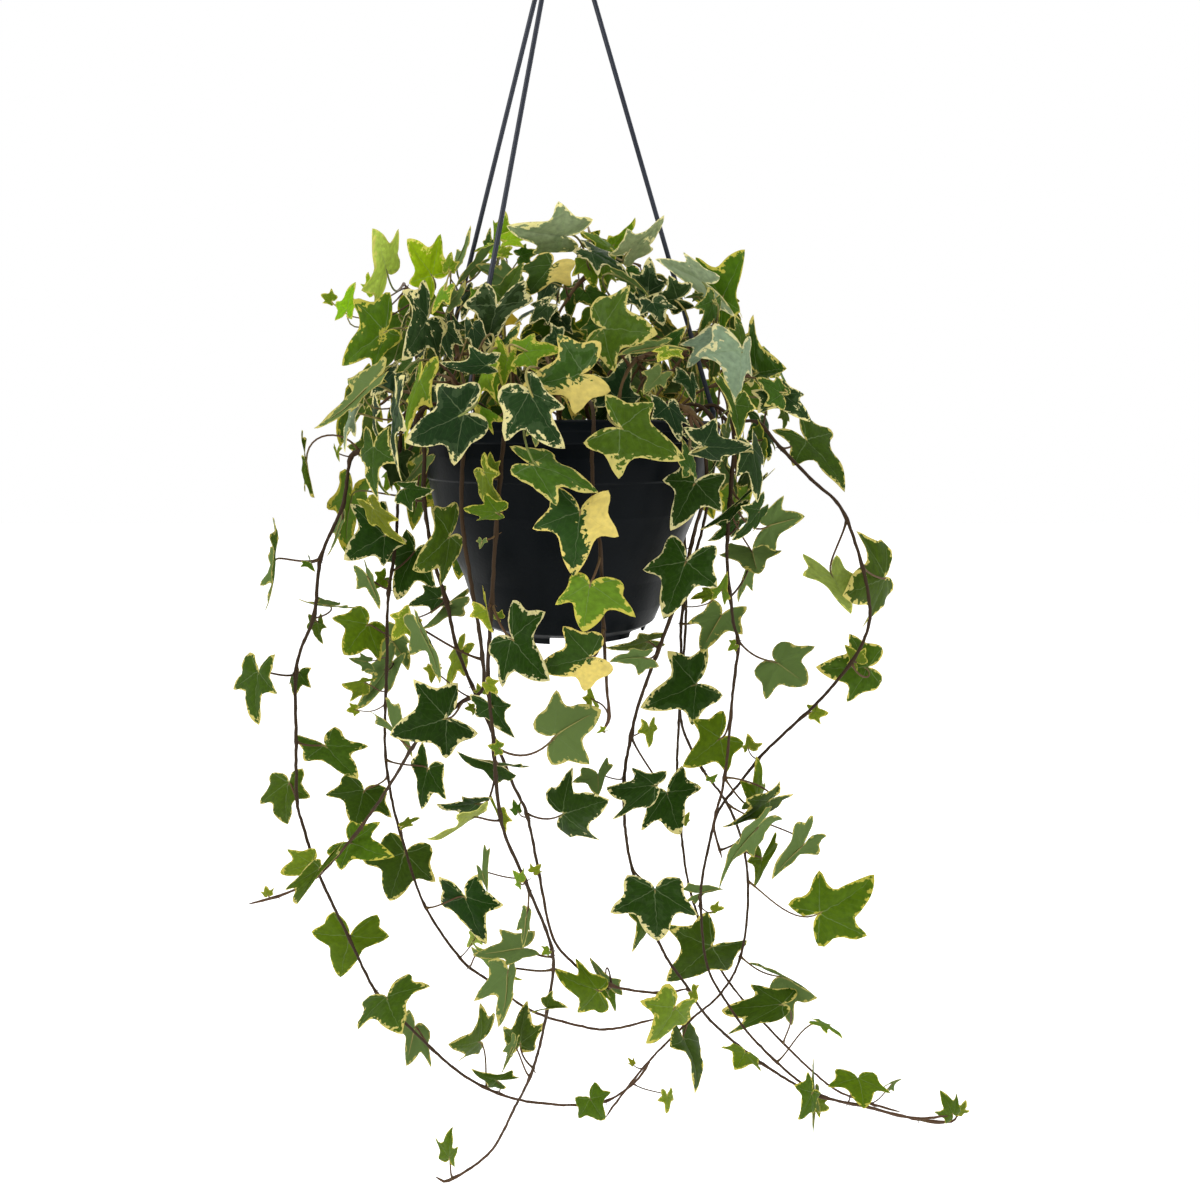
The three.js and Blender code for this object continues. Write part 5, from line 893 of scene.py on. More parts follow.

# %% [markdown]
# The table below says where each shoot runs and how each of its leaves lies. Places are steps of a
# front view 1200 wide and high, with a depth behind the pot's axis in millimetres. A
# shoot's first row gives its root in the pot and, where it trails, the angle at which it crosses the
# rim. Its stem rows give places on the stem, each across, down and depth. Its other rows are leaves. A
# leaf's row holds its stalk end, its tip, its two side tips, how far it stands behind the crown's
# surface or its stem, and its kind: dark (old leaves, and painted shade deep in the crown), mid, lit,
# bright, young, pale, silver (a painted sheen where its gloss catches the light), cream (one half has
# no green) or under (it is turned away). Lit, bright and pale are painted light shining through the
# leaf. A vine's leaf also has the place where its stalk leaves the stem. The measured solids were made
# from the same table.

# %% Table of shoots and leaves
SHOOT_TABLE = """
crown_shoot_01 -52 20
stem 430 395 36, 415 350 38, 418 305 38, 404 284 38
387 272 375 230 399 229 362 291 20 pale
432 276 406 238 440 233 408 283 28 bright
347 311 353 281 334 301 359 298 14 bright
332 301 320 294 331 288 322 303 8 young
386 331 340 365 352 299 372 372 10 lit
374 292 367 272 359 284 374 280 36 bright
430 300 448 322 420 319 448 306 58 lit
crown_shoot_02 -34 -8
stem 470 395 -20, 456 345 -12, 452 312 -6, 462 284 0
428 319 405 357 441 362 404 288 0 dark
446 288 430 313 434 294 447 304 -16 young
449 269 450 251 440 261 459 261 4 young
481 262 452 285 478 249 470 279 12 under
457 264 473 227 458 250 469 248 30 under
450 303 469 283 455 286 464 303 -6 under
478 299 486 284 470 287 491 289 24 lit
446 320 462 346 434 340 468 330 52 dark
445 328 450 362 434 344 462 346 18 dark
472 290 458 318 456 300 482 312 60 dark
crown_shoot_03 -16 22
stem 508 385 20, 500 335 24, 500 295 28, 496 262 34
497 306 484 352 462 304 533 300 -6 dark
503 299 522 261 487 285 528 292 8 mid
512 283 478 262 502 255 484 283 26 under
502 251 474 247 487 241 488 258 18 bright
500 238 503 209 491 219 519 222 30 bright
506 241 535 235 515 228 524 246 22 bright
490 246 489 227 482 241 496 240 40 mid
502 254 512 246 503 244 513 254 8 young
520 256 539 250 526 243 533 265 34 mid
crown_shoot_04 2 12
stem 560 385 0, 552 335 -6, 572 292 -2, 598 266 2
566 236 506 229 532 259 558 206 -6 silver
552 265 526 296 515 268 570 284 -6 cream
612 250 582 229 594 229 590 249 22 lit
590 251 632 273 612 249 600 270 10 dark
588 262 594 286 572 274 608 283 24 lit
548 306 528 323 530 304 548 325 14 dark
588 240 617 246 600 231 602 256 30 lit 580 283
600 254 634 262 614 245 618 274 44 dark 590 274
585 290 600 312 574 304 612 298 70 mid
560 318 552 340 543 324 573 334 66 dark
550 282 536 314 530 290 560 304 58 dark
572 286 568 318 556 300 586 304 78 mid
604 264 604 296 590 276 618 282 56 lit
crown_shoot_05 22 26
stem 612 385 26, 634 335 30, 648 300 34, 640 266 38
612 246 637 219 609 236 638 238 28 bright
630 250 667 218 630 232 656 253 4 silver
648 292 650 256 630 272 668 281 16 dark
616 274 652 293 632 274 640 291 -2 under
678 299 640 302 670 277 674 317 10 dark
700 296 684 297 692 292 692 301 6 under
640 272 630 296 614 280 650 290 30 mid
636 296 646 316 626 304 660 302 24 dark
652 302 663 324 640 314 678 308 16 dark
598 322 588 344 579 330 606 340 60 mid
crown_shoot_06 40 14
stem 662 388 14, 690 345 14, 706 318 16, 716 296 20
706 283 656 258 685 250 712 314 10 silver
722 299 746 248 696 256 741 311 14 lit
714 300 702 334 696 308 718 326 6 mid
741 345 737 313 730 327 753 338 14 mid
715 338 688 369 682 346 710 360 26 silver
669 344 686 327 640 342 680 358 6 mid
crown_shoot_07 54 -4
stem 690 398 -10, 718 384 -14, 745 376 -6, 766 372 6
742 349 737 404 697 355 754 376 -6 silver
757 372 783 371 749 317 770 384 12 mid
782 394 757 377 776 374 764 406 8 mid
735 405 741 438 757 408 713 377 -8 mid
783 393 812 421 758 413 805 394 -2 dark
crown_shoot_08 40 -44
stem 664 404 -62, 684 408 -80, 704 426 -86, 716 446 -88
703 446 753 450 716 423 722 467 -12 dark
752 448 762 502 738 476 767 463 18 dark
700 440 695 416 683 434 704 428 0 dark
690 378 695 403 672 381 700 390 14 dark
668 406 682 441 653 418 692 425 -2 dark
690 470 684 436 676 452 698 456 16 mid
crown_shoot_09 24 -54
stem 616 412 -76, 622 384 -84, 634 362 -80, 652 352 -70
620 428 686 459 619 478 654 401 -10 mid
603 328 656 333 627 283 612 371 -12 mid
617 398 630 353 592 374 641 397 6 dark
610 405 592 428 590 402 609 425 16 dark
660 346 617 352 641 338 668 354 -8 under
668 350 658 360 652 350 684 358 4 young
661 374 642 394 640 372 664 388 10 under
crown_shoot_10 -2 -60
stem 560 410 -82, 556 384 -90, 548 362 -84, 544 346 -72
583 374 520 388 558 333 575 414 -24 cream
530 392 561 450 502 442 562 408 -12 dark
566 401 581 440 562 422 574 416 10 cream
530 424 537 447 527 436 545 437 6 under
560 340 540 343 550 322 553 351 10 dark
532 465 600 486 557 503 553 449 -8 mid
crown_shoot_11 -26 -46
stem 516 404 -62, 512 378 -66, 512 352 -56, 516 332 -42
524 352 563 347 534 332 537 371 -14 young
508 356 502 389 486 352 516 374 -4 young
506 345 519 322 497 340 523 343 9 cream
486 366 471 409 477 384 492 398 -8 young
491 370 496 408 505 382 484 392 4 lit
480 407 505 419 492 410 494 433 -6 young
crown_shoot_12 -46 -38
stem 474 408 -66, 464 392 -70, 448 378 -62, 430 372 -48
464 414 403 442 453 466 435 383 -12 dark
486 365 440 368 469 349 466 379 -6 dark
420 378 396 446 404 400 428 405 -4 young
397 401 394 481 391 428 403 430 -16 dark
411 362 395 372 398 360 410 376 14 mid
473 326 477 358 462 338 490 345 0 dark
crown_shoot_13 -66 -12
stem 436 412 -18, 418 396 -16, 400 392 -10, 380 404 -4
372 383 322 435 349 380 352 412 -8 under
366 384 389 362 371 372 383 378 -12 mid
353 410 340 451 344 426 353 436 0 silver
395 372 368 394 374 371 394 400 16 dark
374 446 371 500 354 460 391 462 -4 mid
trailing_vine_01 -74 10 178
stem 398 452 -2, 376 456 -4, 352 455 -4, 343 505 -8, 321 557 -12, 314 616 -14, 297 664 -16
stem 296 735 -18, 297 800 -18, 303 825 -18, 318 872 -16, 350 940 -12, 376 992 -8, 402 1020 -4
stem 450 1065 2, 482 1086 6, 520 1100 10, 570 1105 14, 606 1101 18, 634 1083 20, 650 1062 20
306 461 312 498 303 439 303 492 -6 mid 352 455
337 452 338 462 333 447 342 448 0 young 350 455
383 449 365 405 345 447 390 424 -16 mid 378 456
275 558 271 611 275 538 268 586 -6 under 320 558
311 563 315 572 300 567 309 556 -4 mid 319 560
341 521 330 557 342 534 334 533 6 under 342 506
331 606 298 604 318 599 346 608 10 under 315 617
318 622 320 645 304 629 324 628 10 mid 315 617
259 671 252 726 230 689 272 694 -8 mid 296 675
299 672 292 698 286 685 309 688 10 mid 296 670
325 745 357 780 302 762 367 748 12 mid 298 740
289 782 282 827 254 806 304 800 10 mid 297 800
350 935 339 980 308 937 387 942 10 lit 350 938
387 997 397 1031 425 982 352 1026 -10 mid 378 993
415 1026 407 1063 397 1032 432 1066 10 under 432 1048
480 1041 452 1049 483 1006 459 1064 8 mid 486 1085
497 1080 470 1073 512 1073 488 1091 -8 mid 498 1092
590 1098 605 1124 578 1121 611 1094 -8 lit 606 1101
633 1064 628 1058 628 1064 634 1058 0 young 646 1070
trailing_vine_02 72 8 4
stem 757 422 8, 780 447 6, 810 478 4, 841 508 2, 860 558 0, 869 600 0, 868 628 0, 853 660 2
stem 820 700 6, 790 728 8, 762 755 10, 742 780 14, 718 812 18, 708 850 20, 702 880 20, 701 912 20
stem 707 965 18, 727 1003 12, 760 1046 6, 815 1092 0, 870 1108 -4, 905 1117 -6, 948 1122 -6
stem 957 1116 -6
806 440 851 488 838 430 798 462 4 mid 783 449
760 420 770 461 752 440 780 450 20 dark 762 428
784 413 785 431 779 418 791 422 22 mid 764 430
885 577 850 596 863 531 868 629 14 mid 864 570
832 575 853 615 804 576 858 578 10 pale 846 516
868 667 819 670 850 634 848 703 14 mid 853 661
856 662 845 645 866 648 847 664 4 young 852 664
812 711 829 713 821 725 818 703 2 young 803 716
748 747 748 735 742 747 763 744 6 young 758 760
700 893 723 886 688 880 695 901 10 under 701 904
713 911 725 909 719 901 715 914 4 young 701 906
818 1022 845 1035 832 1024 828 1032 -4 bright 778 1058
858 1078 866 1107 828 1087 891 1093 -10 lit 850 1102
953 1114 942 1092 935 1113 958 1094 -4 lit 915 1118
957 1112 967 1101 957 1102 970 1111 4 young 957 1116
trailing_vine_03 -24 -66 -104
stem 503 446 -110, 496 530 -112, 492 600 -112, 488 676 -106, 493 735 -100, 498 800 -94, 505 835 -90
stem 527 885 -84, 552 950 -76, 549 1000 -70, 534 1066 -64, 516 1105 -60, 490 1152 -56, 450 1180 -54
stem 436 1177 -54
493 470 489 452 481 463 499 461 -4 young 503 474
484 471 500 509 478 505 494 476 -8 young 502 476
498 512 463 510 484 497 476 524 -6 lit 500 490
482 541 480 549 476 541 488 542 -2 under 494 536
487 610 492 634 469 617 484 592 -8 young 491 604
499 618 490 611 493 619 502 610 -4 young 493 606
512 638 545 682 500 688 543 612 -6 dark 493 604
487 683 498 694 499 681 487 695 -6 young 488 676
492 705 513 740 474 719 509 707 12 dark 488 690
500 748 487 746 496 739 494 757 -8 young 495 750
555 735 602 706 557 688 590 762 6 under 497 748
495 762 455 758 521 768 496 786 12 dark 496 755
478 803 436 808 462 797 456 820 8 dark 492 776
474 816 430 846 458 818 450 834 4 pale 500 818
499 814 505 836 489 798 513 822 8 young 500 812
482 871 489 893 492 847 479 880 4 under 522 878
520 882 513 872 515 886 524 868 -4 young 524 880
527 914 524 948 518 930 532 932 6 under 530 890
523 948 473 957 500 931 506 968 4 under 551 954
508 970 506 1024 481 998 520 990 12 under 551 966
549 951 542 955 541 946 548 957 -4 young 552 948
547 1008 566 1006 551 989 531 1012 -8 mid 547 1014
520 1044 525 1003 500 1030 545 1024 8 mid 534 1068
514 1044 503 1074 507 1052 516 1056 -2 under 530 1076
450 1158 449 1130 434 1138 457 1148 -4 lit 452 1180
trailing_vine_04 -62 -34 -141
stem 424 448 -70, 424 500 -72, 434 560 -66, 446 600 -66, 456 645 -64, 473 688 -60, 484 712 -56
stem 500 752 -50, 514 786 -44, 527 815 -40, 538 868 -36, 552 935 -40, 572 962 -42, 592 976 -42
stem 620 988 -40, 660 993 -38, 686 989 -36
450 536 415 571 443 587 433 507 -12 mid 430 545
425 458 407 485 413 462 426 478 4 under 427 490
404 488 433 491 417 481 412 513 -12 dark 424 500
440 598 407 605 421 583 430 612 8 dark 445 598
447 604 424 631 463 602 464 616 12 under 446 606
410 619 390 641 388 615 412 640 -4 young 446 600
462 650 442 690 448 656 464 676 4 young 458 650
480 692 477 684 473 692 488 690 -4 young 474 688
474 708 465 709 467 702 473 716 -2 young 484 714
518 811 513 800 508 810 520 803 2 mid 527 817
563 813 607 802 566 773 595 846 -6 dark 527 814
534 872 541 865 530 864 543 872 -6 young 538 872
598 990 554 975 576 964 578 1018 -8 lit 604 985
606 984 588 957 597 984 618 980 8 under 612 985
607 986 619 1012 602 999 618 990 2 lit 610 985
675 1007 650 1051 643 1007 692 1028 -6 young 660 993
692 992 698 1000 699 985 690 1001 -4 young 686 989
trailing_vine_05 -58 36 150
stem 412 446 52, 400 476 52, 396 540 50, 388 600 46, 387 660 44, 385 745 42, 392 800 40, 402 838 38
stem 424 904 30, 460 958 24, 485 978 20, 530 1010 16, 580 1026 14, 612 1029 12, 655 1019 12
396 470 382 491 379 477 397 492 -8 lit 399 478
385 535 342 561 349 504 383 567 -10 dark 395 545
373 508 400 548 372 526 398 520 -22 young 396 560
415 550 393 600 382 560 432 592 8 dark 393 570
367 575 383 608 377 578 359 588 4 under 388 590
385 578 372 590 374 572 386 590 14 lit 389 592
368 624 343 655 331 618 380 662 4 lit 386 632
392 662 360 711 368 672 392 696 6 under 387 670
388 634 412 668 386 660 416 640 12 under 387 640
366 682 341 684 349 703 362 678 14 young 386 690
356 709 346 711 349 703 354 717 6 young 386 705
368 662 349 659 360 653 362 672 16 under 387 660
428 768 417 812 409 763 446 800 -6 dark 387 758
364 790 354 828 325 795 392 818 8 mid 391 776
404 826 420 817 408 815 412 824 -4 young 400 830
405 853 388 904 362 862 435 884 10 mid 402 834
465 896 484 948 437 909 501 909 -4 dark 426 907
476 934 466 948 468 932 482 946 14 pale 462 958
480 952 520 985 500 962 498 976 -14 lit 470 964
trailing_vine_06 -36 -58 -120
stem 463 450 -94, 462 520 -98, 474 600 -96, 482 652 -88, 482 690 -80, 462 702 -78, 436 722 -74
stem 412 748 -66, 393 780 -56, 360 828 -48, 322 872 -42, 290 892 -38, 249 904 -36
447 718 388 738 412 681 445 762 -8 dark 462 703
393 728 416 755 403 702 377 722 12 under 412 748
434 672 431 684 422 668 442 668 2 young 470 697
420 628 447 680 438 640 419 650 12 under 482 660
351 842 388 859 379 822 339 871 10 lit 362 826
320 868 292 909 338 855 284 890 -6 mid 322 874
312 863 278 875 286 850 304 886 10 young 318 875
268 895 265 887 260 892 274 888 -2 young 276 896
trailing_vine_07 18 -70 -80
stem 592 446 -108, 593 490 -112, 600 545 -112, 604 640 -108, 607 690 -104, 609 718 -102
stem 603 731 -100
580 511 573 578 532 529 619 537 -8 cream 594 500
590 584 583 630 555 603 636 616 -8 young 601 560
590 657 537 671 563 627 585 693 -8 cream 603 625
592 700 588 682 583 698 600 706 -2 young 609 716
604 731 596 734 600 726 610 730 -2 young 603 731
trailing_vine_08 58 -40 -36
stem 706 446 -66, 706 490 -64, 695 530 -56, 680 590 -50, 662 640 -46, 640 700 -42, 632 732 -40
stem 624 785 -38, 630 860 -36, 660 945 -36, 686 985 -32, 710 1020 -26, 760 1062 -18, 815 1094 -20
stem 865 1106 -24, 915 1118 -26, 948 1116 -26
695 482 671 531 663 480 723 512 -12 dark 704 500
686 561 664 620 643 570 718 588 -10 dark 690 548
648 641 606 652 640 636 642 657 6 mid 660 646
644 657 609 658 628 645 638 672 -8 under 656 656
649 727 651 749 639 733 659 729 -6 young 632 736
655 785 607 790 632 768 612 820 -8 dark 631 736
598 774 599 797 573 783 614 766 8 under 624 782
655 889 657 943 610 914 698 916 -8 dark 632 868
648 915 635 955 631 916 652 930 6 mid 654 936
745 1053 738 1066 722 1046 762 1070 -8 lit 765 1066
812 1092 800 1123 796 1088 815 1119 -8 lit 818 1096
815 1096 812 1133 810 1064 818 1110 2 under 822 1097
816 1101 830 1110 820 1119 828 1100 8 young 826 1098
trailing_vine_09 64 30 34
stem 714 446 58, 712 480 60, 702 530 58, 694 560 56, 682 615 54, 681 660 52, 681 720 52, 700 765 54
stem 728 805 52, 744 850 50, 748 900 48, 741 955 44, 722 992 40, 688 1022 36, 650 1060 32
stem 618 1100 28, 606 1117 28
722 614 700 651 687 622 742 634 -10 under 682 622
712 595 690 598 702 586 701 603 -22 young 684 608
696 684 641 710 668 652 693 727 -14 dark 682 660
712 780 718 774 706 776 716 782 -4 young 704 768
802 846 769 876 793 820 815 851 -4 under 727 803
762 858 757 891 780 846 748 862 8 lit 744 850
819 913 878 882 820 872 868 938 -6 lit 746 882
781 976 820 992 758 965 792 1026 4 under 742 956
683 1038 707 1093 708 1043 678 1046 -10 mid 688 1022
667 1095 668 1115 661 1103 677 1100 -4 young 634 1082
trailing_vine_10 70 -20 -16
stem 734 446 -30, 730 500 -30, 727 560 -26, 733 620 -24, 738 645 -24, 732 700 -24, 727 760 -22
stem 721 795 -20, 714 825 -18, 722 858 -16
737 504 701 532 768 473 728 524 -12 dark 729 520
738 520 710 544 715 524 732 538 6 dark 728 536
767 526 804 516 783 495 775 551 8 under 729 500
752 551 758 577 781 557 718 561 12 under 729 510
722 590 728 572 711 590 731 599 -8 young 730 590
748 568 735 601 740 578 750 590 2 under 731 600
775 661 808 685 816 647 767 700 6 under 738 642
735 645 728 651 729 640 736 652 -2 young 738 648
720 738 684 770 728 774 694 721 10 lit 729 714
756 800 763 759 744 782 768 784 10 lit 725 776
770 800 725 833 746 800 768 816 -4 mid 725 778
758 826 710 880 732 837 750 853 4 under 720 850
trailing_vine_11 44 52 60
stem 668 446 84, 682 500 86, 686 610 84, 680 700 80, 677 775 78, 681 830 76, 690 890 72, 712 952 66
stem 735 990 60, 785 1045 50, 830 1086 40, 860 1100 34, 900 1112 28
667 792 680 836 641 831 702 788 -14 dark 677 790
684 823 690 812 680 814 692 820 -4 young 681 828
712 946 667 986 667 931 731 978 -10 mid 700 918
783 1004 722 1010 752 984 728 1035 -8 mid 784 1044
892 1083 901 1077 885 1084 893 1090 -4 under 872 1104
"""


def read_number(word):
    return float(word) if "." in word else int(word)


def read_shoots(table):
    shoots = []
    for line in table.strip().splitlines():
        words = line.replace(",", "").split()
        if words[0] == "stem":
            values = [read_number(word) for word in words[1:]]
            shoots[-1]["route"] += [values[i : i + 3] for i in range(0, len(values), 3)]
        elif words[0][0].isalpha():
            root_x, root_y, *over = (read_number(word) for word in words[1:])
            shoots.append({"name": words[0], "root": [root_x, root_y], "route": [], "leaves": []})
            shoots[-1]["over"] = over[0] if over else None
        else:
            places = [read_number(word) for word in words[:9]]
            row = [places[i : i + 2] for i in range(0, 8, 2)] + [places[8], words[9]]
            if len(words) > 10:
                row.append([read_number(word) for word in words[10:]])
            shoots[-1]["leaves"].append(row)
    return shoots


SHOOTS = read_shoots(SHOOT_TABLE)
print("table of", len(SHOOTS), "shoots with", sum(len(s["leaves"]) for s in SHOOTS), "leaves")

# %% [markdown]
# A step of the front view and a depth give one point in space: the ray through that step meets an
# upright plane at that depth. The crown's leaves lie on a dome in front of the pot's axis, so their
# depth comes from the dome's shape and the table only gives how far they stand off it.

# %% From the front view into space
CROWN = {"middle": 575, "half_width": 270, "foot": 470, "height": 260, "back": 20, "depth": 140}


def place_step(step, depth):
    right = (step[0] - FRAME / 2) / FOCAL
    up = (FRAME / 2 - step[1]) / FOCAL
    sine, cosine = math.sin(PITCH), math.cos(PITCH)
    ray = np.array([right, cosine + up * sine, up * cosine - sine])
    return EYE + ray * ((depth - EYE[1]) / ray[1])


def crown_depth(step):
    side = min(1, abs(step[0] - CROWN["middle"]) / CROWN["half_width"])
    rise = min(1, max(0, (CROWN["foot"] - step[1]) / CROWN["height"]))
    dome = math.sqrt(1 - side * side) * math.cos(rise * math.pi / 2) ** 0.8
    return CROWN["back"] - CROWN["depth"] * dome


print("the crown's nearest leaf is at depth", round(crown_depth((575, 470))), "mm")

# %% [markdown]
# A stem comes up out of the potting mix. A trailing one then bends over the rim with a little air
# under it, and from there every stem follows its own points. The measured solids have stems in
# straight steps, and the same steps are used here to find where leaves have room, so that both models
# put each leaf in the same place. The stems themselves are made smooth.

# %% Stems and the room they take
OVER_RIM = [(80, 5), (92, 9), (103, 0)]
STEM_STEP = 24
BEAD_STEP = 2.5


def stem_corners(root, over, route):
    corners = [(*root, SOIL_Z + GAP), (*root, SOIL_Z + 8)]
    if over is not None:
        x, y = math.cos(radians(over)), math.sin(radians(over))
        corners += [(radius * x, radius * y, RIM_Z + height) for radius, height in OVER_RIM]
    return [np.array(c, float) for c in corners] + [place_step(step[:2], step[2]) for step in route]


def beads_along(points_at, steps):
    corners = evenly(points_at, steps)
    beads = [corners[:1]]
    for start, end in zip(corners, corners[1:]):
        count = math.ceil(np.linalg.norm(end - start) / BEAD_STEP)
        shares = np.arange(1, count + 1)[:, None] / count
        beads.append(start + (end - start) * shares)
    return np.vstack(beads)


def grow_stem(corners):
    points_at = smooth_curve(corners)
    steps = math.ceil(length_of(points_at) / STEM_STEP)
    return {"curve": points_at, "beads": beads_along(points_at, steps)}


print("stems are tested every", BEAD_STEP, "mm")

# %% [markdown]
# A leaf seen edge-on looks narrow in the front view, though it is as wide as the others. So a leaf
# whose side tips look too close is turned about its midrib until they are the right distance apart,
# and one that looks too short is tipped towards the viewer. The side tips are swapped where that is
# needed for the upper side to face forwards, or backwards on a leaf that shows its underside.

# %% How a leaf lies
LOBE_SPAN = 1.15
SHORT_SPAN = 0.66
TURN_SHARE = 0.8


def span(first, second):
    return np.linalg.norm(first - second)


def blade_normal(blade):
    return unit(np.cross(blade["right"] - blade["left"], blade["tip"] - blade["base"]))


def seen_blade(row, depth):
    base, tip, first, second, _, kind = row[:6]
    length = span(place_step(base, depth), place_step(tip, depth))
    width = span(place_step(first, depth), place_step(second, depth))
    wide = math.sqrt(max(0, (LOBE_SPAN * length) ** 2 - width**2))
    turn = TURN_SHARE * min(wide, 0.9 * length) / 2
    outer = first[0] < second[0] if base[0] < CROWN["middle"] else first[0] > second[0]
    short = math.sqrt(max(0, (SHORT_SPAN * width) ** 2 - length**2))
    blade = {
        "base": place_step(base, depth),
        "tip": place_step(tip, depth - TURN_SHARE * short - 0.06 * length),
        "left": place_step(first, depth + (turn if outer else -turn)),
        "right": place_step(second, depth + (-turn if outer else turn)),
    }
    side = -1 if kind == "under" else 1
    if np.sign(blade_normal(blade).dot(EYE - blade["base"])) != side:
        blade["left"], blade["right"] = blade["right"], blade["left"]
        blade["swap"] = -1
    return blade


print("a leaf is", LOBE_SPAN, "times as wide as long")

# %% [markdown]
# Leaves and stalks should keep clear of each other. Each blade is stood for by points on spokes from
# its middle to a simple outline, and each stem and stalk by points along it. Counting the points that
# come too near tells how crowded a place is. The pot is a solid of revolution, so its own distance
# follows from radius and height.

# %% Room between neighbours
ROUGH_HALF = [(-0.44, 0.52), (0, 1), (0.28, 0.4)]
HUB_SHARE = 0.3
SPOKE_STEP = 6
RIM_STEP = 10


def blade_point(blade, side, along, across):
    base = blade["base"]
    lobe = blade["right"] if side > 0 else blade["left"]
    return base + (blade["tip"] - base) * along + (lobe - base) * across


def blade_beads(blade):
    hub = blade_point(blade, 1, HUB_SHARE, 0)
    right = [blade_point(blade, 1, *pair) for pair in ROUGH_HALF]
    left = [blade_point(blade, -1, *pair) for pair in ROUGH_HALF]
    rim = [blade["base"], *right, blade["tip"], *left[::-1]]
    beads = [hub]
    for corner, following in zip(rim, rim[1:] + rim[:1]):
        spokes = math.ceil(span(corner, following) / RIM_STEP)
        for j in range(spokes):
            end = corner + (following - corner) * (j / spokes)
            parts = math.ceil(span(end, hub) / SPOKE_STEP)
            beads += [hub + (end - hub) * (k / parts) for k in range(1, parts + 1)]
    return np.array(beads)


WALL_STEPS = [*STRAIGHT_WALL[::-1], *OUTER_WALL[::-1]]


def pot_room(points):
    """How near points come to the pot: below 0 they are inside its wall or rim band."""
    height, radius = points[:, 2] - RIM_Z, np.hypot(points[:, 0], points[:, 1])
    wall = np.full(len(points), FOOT_RADIUS)
    for (above, level), (_, below) in zip(WALL_STEPS, WALL_STEPS[1:]):
        wall[(height <= level) & (height > below)] = above
    cases = [
        height > 0,
        height < -FOOT_DEPTH,
        (radius < 84) & (height > SOIL_Z - RIM_Z + 3),
        height > -BAND_DEPTH - 2,
    ]
    rooms = [
        np.hypot(height, np.maximum(0, 86 - radius)),
        np.hypot(height + FOOT_DEPTH, np.maximum(0, radius - FOOT_RADIUS)),
        84 - radius,
        radius - RIM_RADIUS,
    ]
    return np.select(cases, rooms, radius - wall)


def new_store():
    return {"points": np.empty((0, 3)), "owners": np.empty(0, int)}


def take_room(store, beads, owner):
    store["points"] = np.vstack([store["points"], beads])
    store["owners"] = np.concatenate([store["owners"], np.full(len(beads), owner)])


def clashes(beads, store, reach, but=-1):
    """How many beads come nearer than reach to the store's points, leaving out one owner's."""
    low, high = beads.min(0) - reach, beads.max(0) + reach
    points = store["points"]
    close = points[((points > low) & (points < high)).all(1) & (store["owners"] != but)]
    if not len(close):
        return 0
    gaps = ((beads[:, None] - close) ** 2).sum(2).min(1)
    return int((gaps < reach**2).sum())


CLEAR = {"blade": 5, "blade_to_stem": 4.6, "blade_to_pot": 2}
CLEAR |= {"rod_to_blade": 4.4, "rod": 3, "rod_to_pot": 2.4}
print("blades keep", CLEAR["blade"], "mm apart")

# %% [markdown]
# The front view says nothing about the back. Eight more shoots fill the far side of the crown and
# three short vines hang behind the pot, each with leaves to both sides that face outwards and more
# upwards near the top.

# %% Shoots of the far side
BACK = {"shoots": 8, "from": 24, "to": 149}
BACK_STEM = [(56, 30), (84, 46), (112, 22), (124, -18), (126, -52)]
BACK_VINES = [66, 94, 121]
BACK_VINE_STEM = [(108, -20), (104, -52), (100, -84)]
CROWN_SHARES = [0.36, 0.48, 0.6, 0.72, 0.84, 0.98]
OVER_SHARES = [0.52, 0.66, 0.8, 0.98]


def back_shoot(name, degrees, stem, trails, wobble):
    x, y = math.cos(radians(degrees)), math.sin(radians(degrees))
    out, aside = np.array([x, y, 0]), np.array([-y, x, 0])
    root = 66 if trails else 38
    corners = stem_corners((x * root, y * root), degrees if trails else None, [])
    for i, (radius, height) in enumerate(stem):
        sway = 3 * wobble * (1 if i % 2 else -1)
        corners.append(out * radius + aside * sway + (0, 0, RIM_Z + height + 5 * wobble * i * 0.4))
    shares = OVER_SHARES if trails else CROWN_SHARES
    return {"name": name, "corners": corners, "degrees": degrees, "wobble": wobble, "shares": shares}


def back_blade(shoot, curve, index, shift):
    share, wobble = shoot["shares"][index], shoot["wobble"]
    x, y = math.cos(radians(shoot["degrees"])), math.sin(radians(shoot["degrees"]))
    side = 1 if index % 2 else -1
    aside = np.array([-y, x, 0]) * side
    rise = min(1, max(0, 1.3 - share * 1.3)) * 1.3
    normal = np.array([x, y, 0]) + aside * 0.3
    normal[2] = rise + 0.15
    normal = unit(normal)
    drop = np.array([0, 0, -1]) + aside * (0.5 + 0.3 * wobble)
    along = unit(drop - normal * drop.dot(normal))
    across = unit(np.cross(along, normal))
    length = 38 + 7 * math.sin(5 * share + 3 * wobble)
    base = curve(share)[0] + aside * 15 + normal * (13 + shift)
    middle = base + along * 0.33 * length
    left, right = middle - across * 0.74 * length, middle + across * 0.74 * length
    return {"base": base, "tip": base + along * length, "left": left, "right": right}


def nearest_seen(beads, step):
    ways = np.array([place_step(step, bead[1]) for bead in beads])
    return beads[np.argmin(np.linalg.norm(ways - beads, axis=1))]


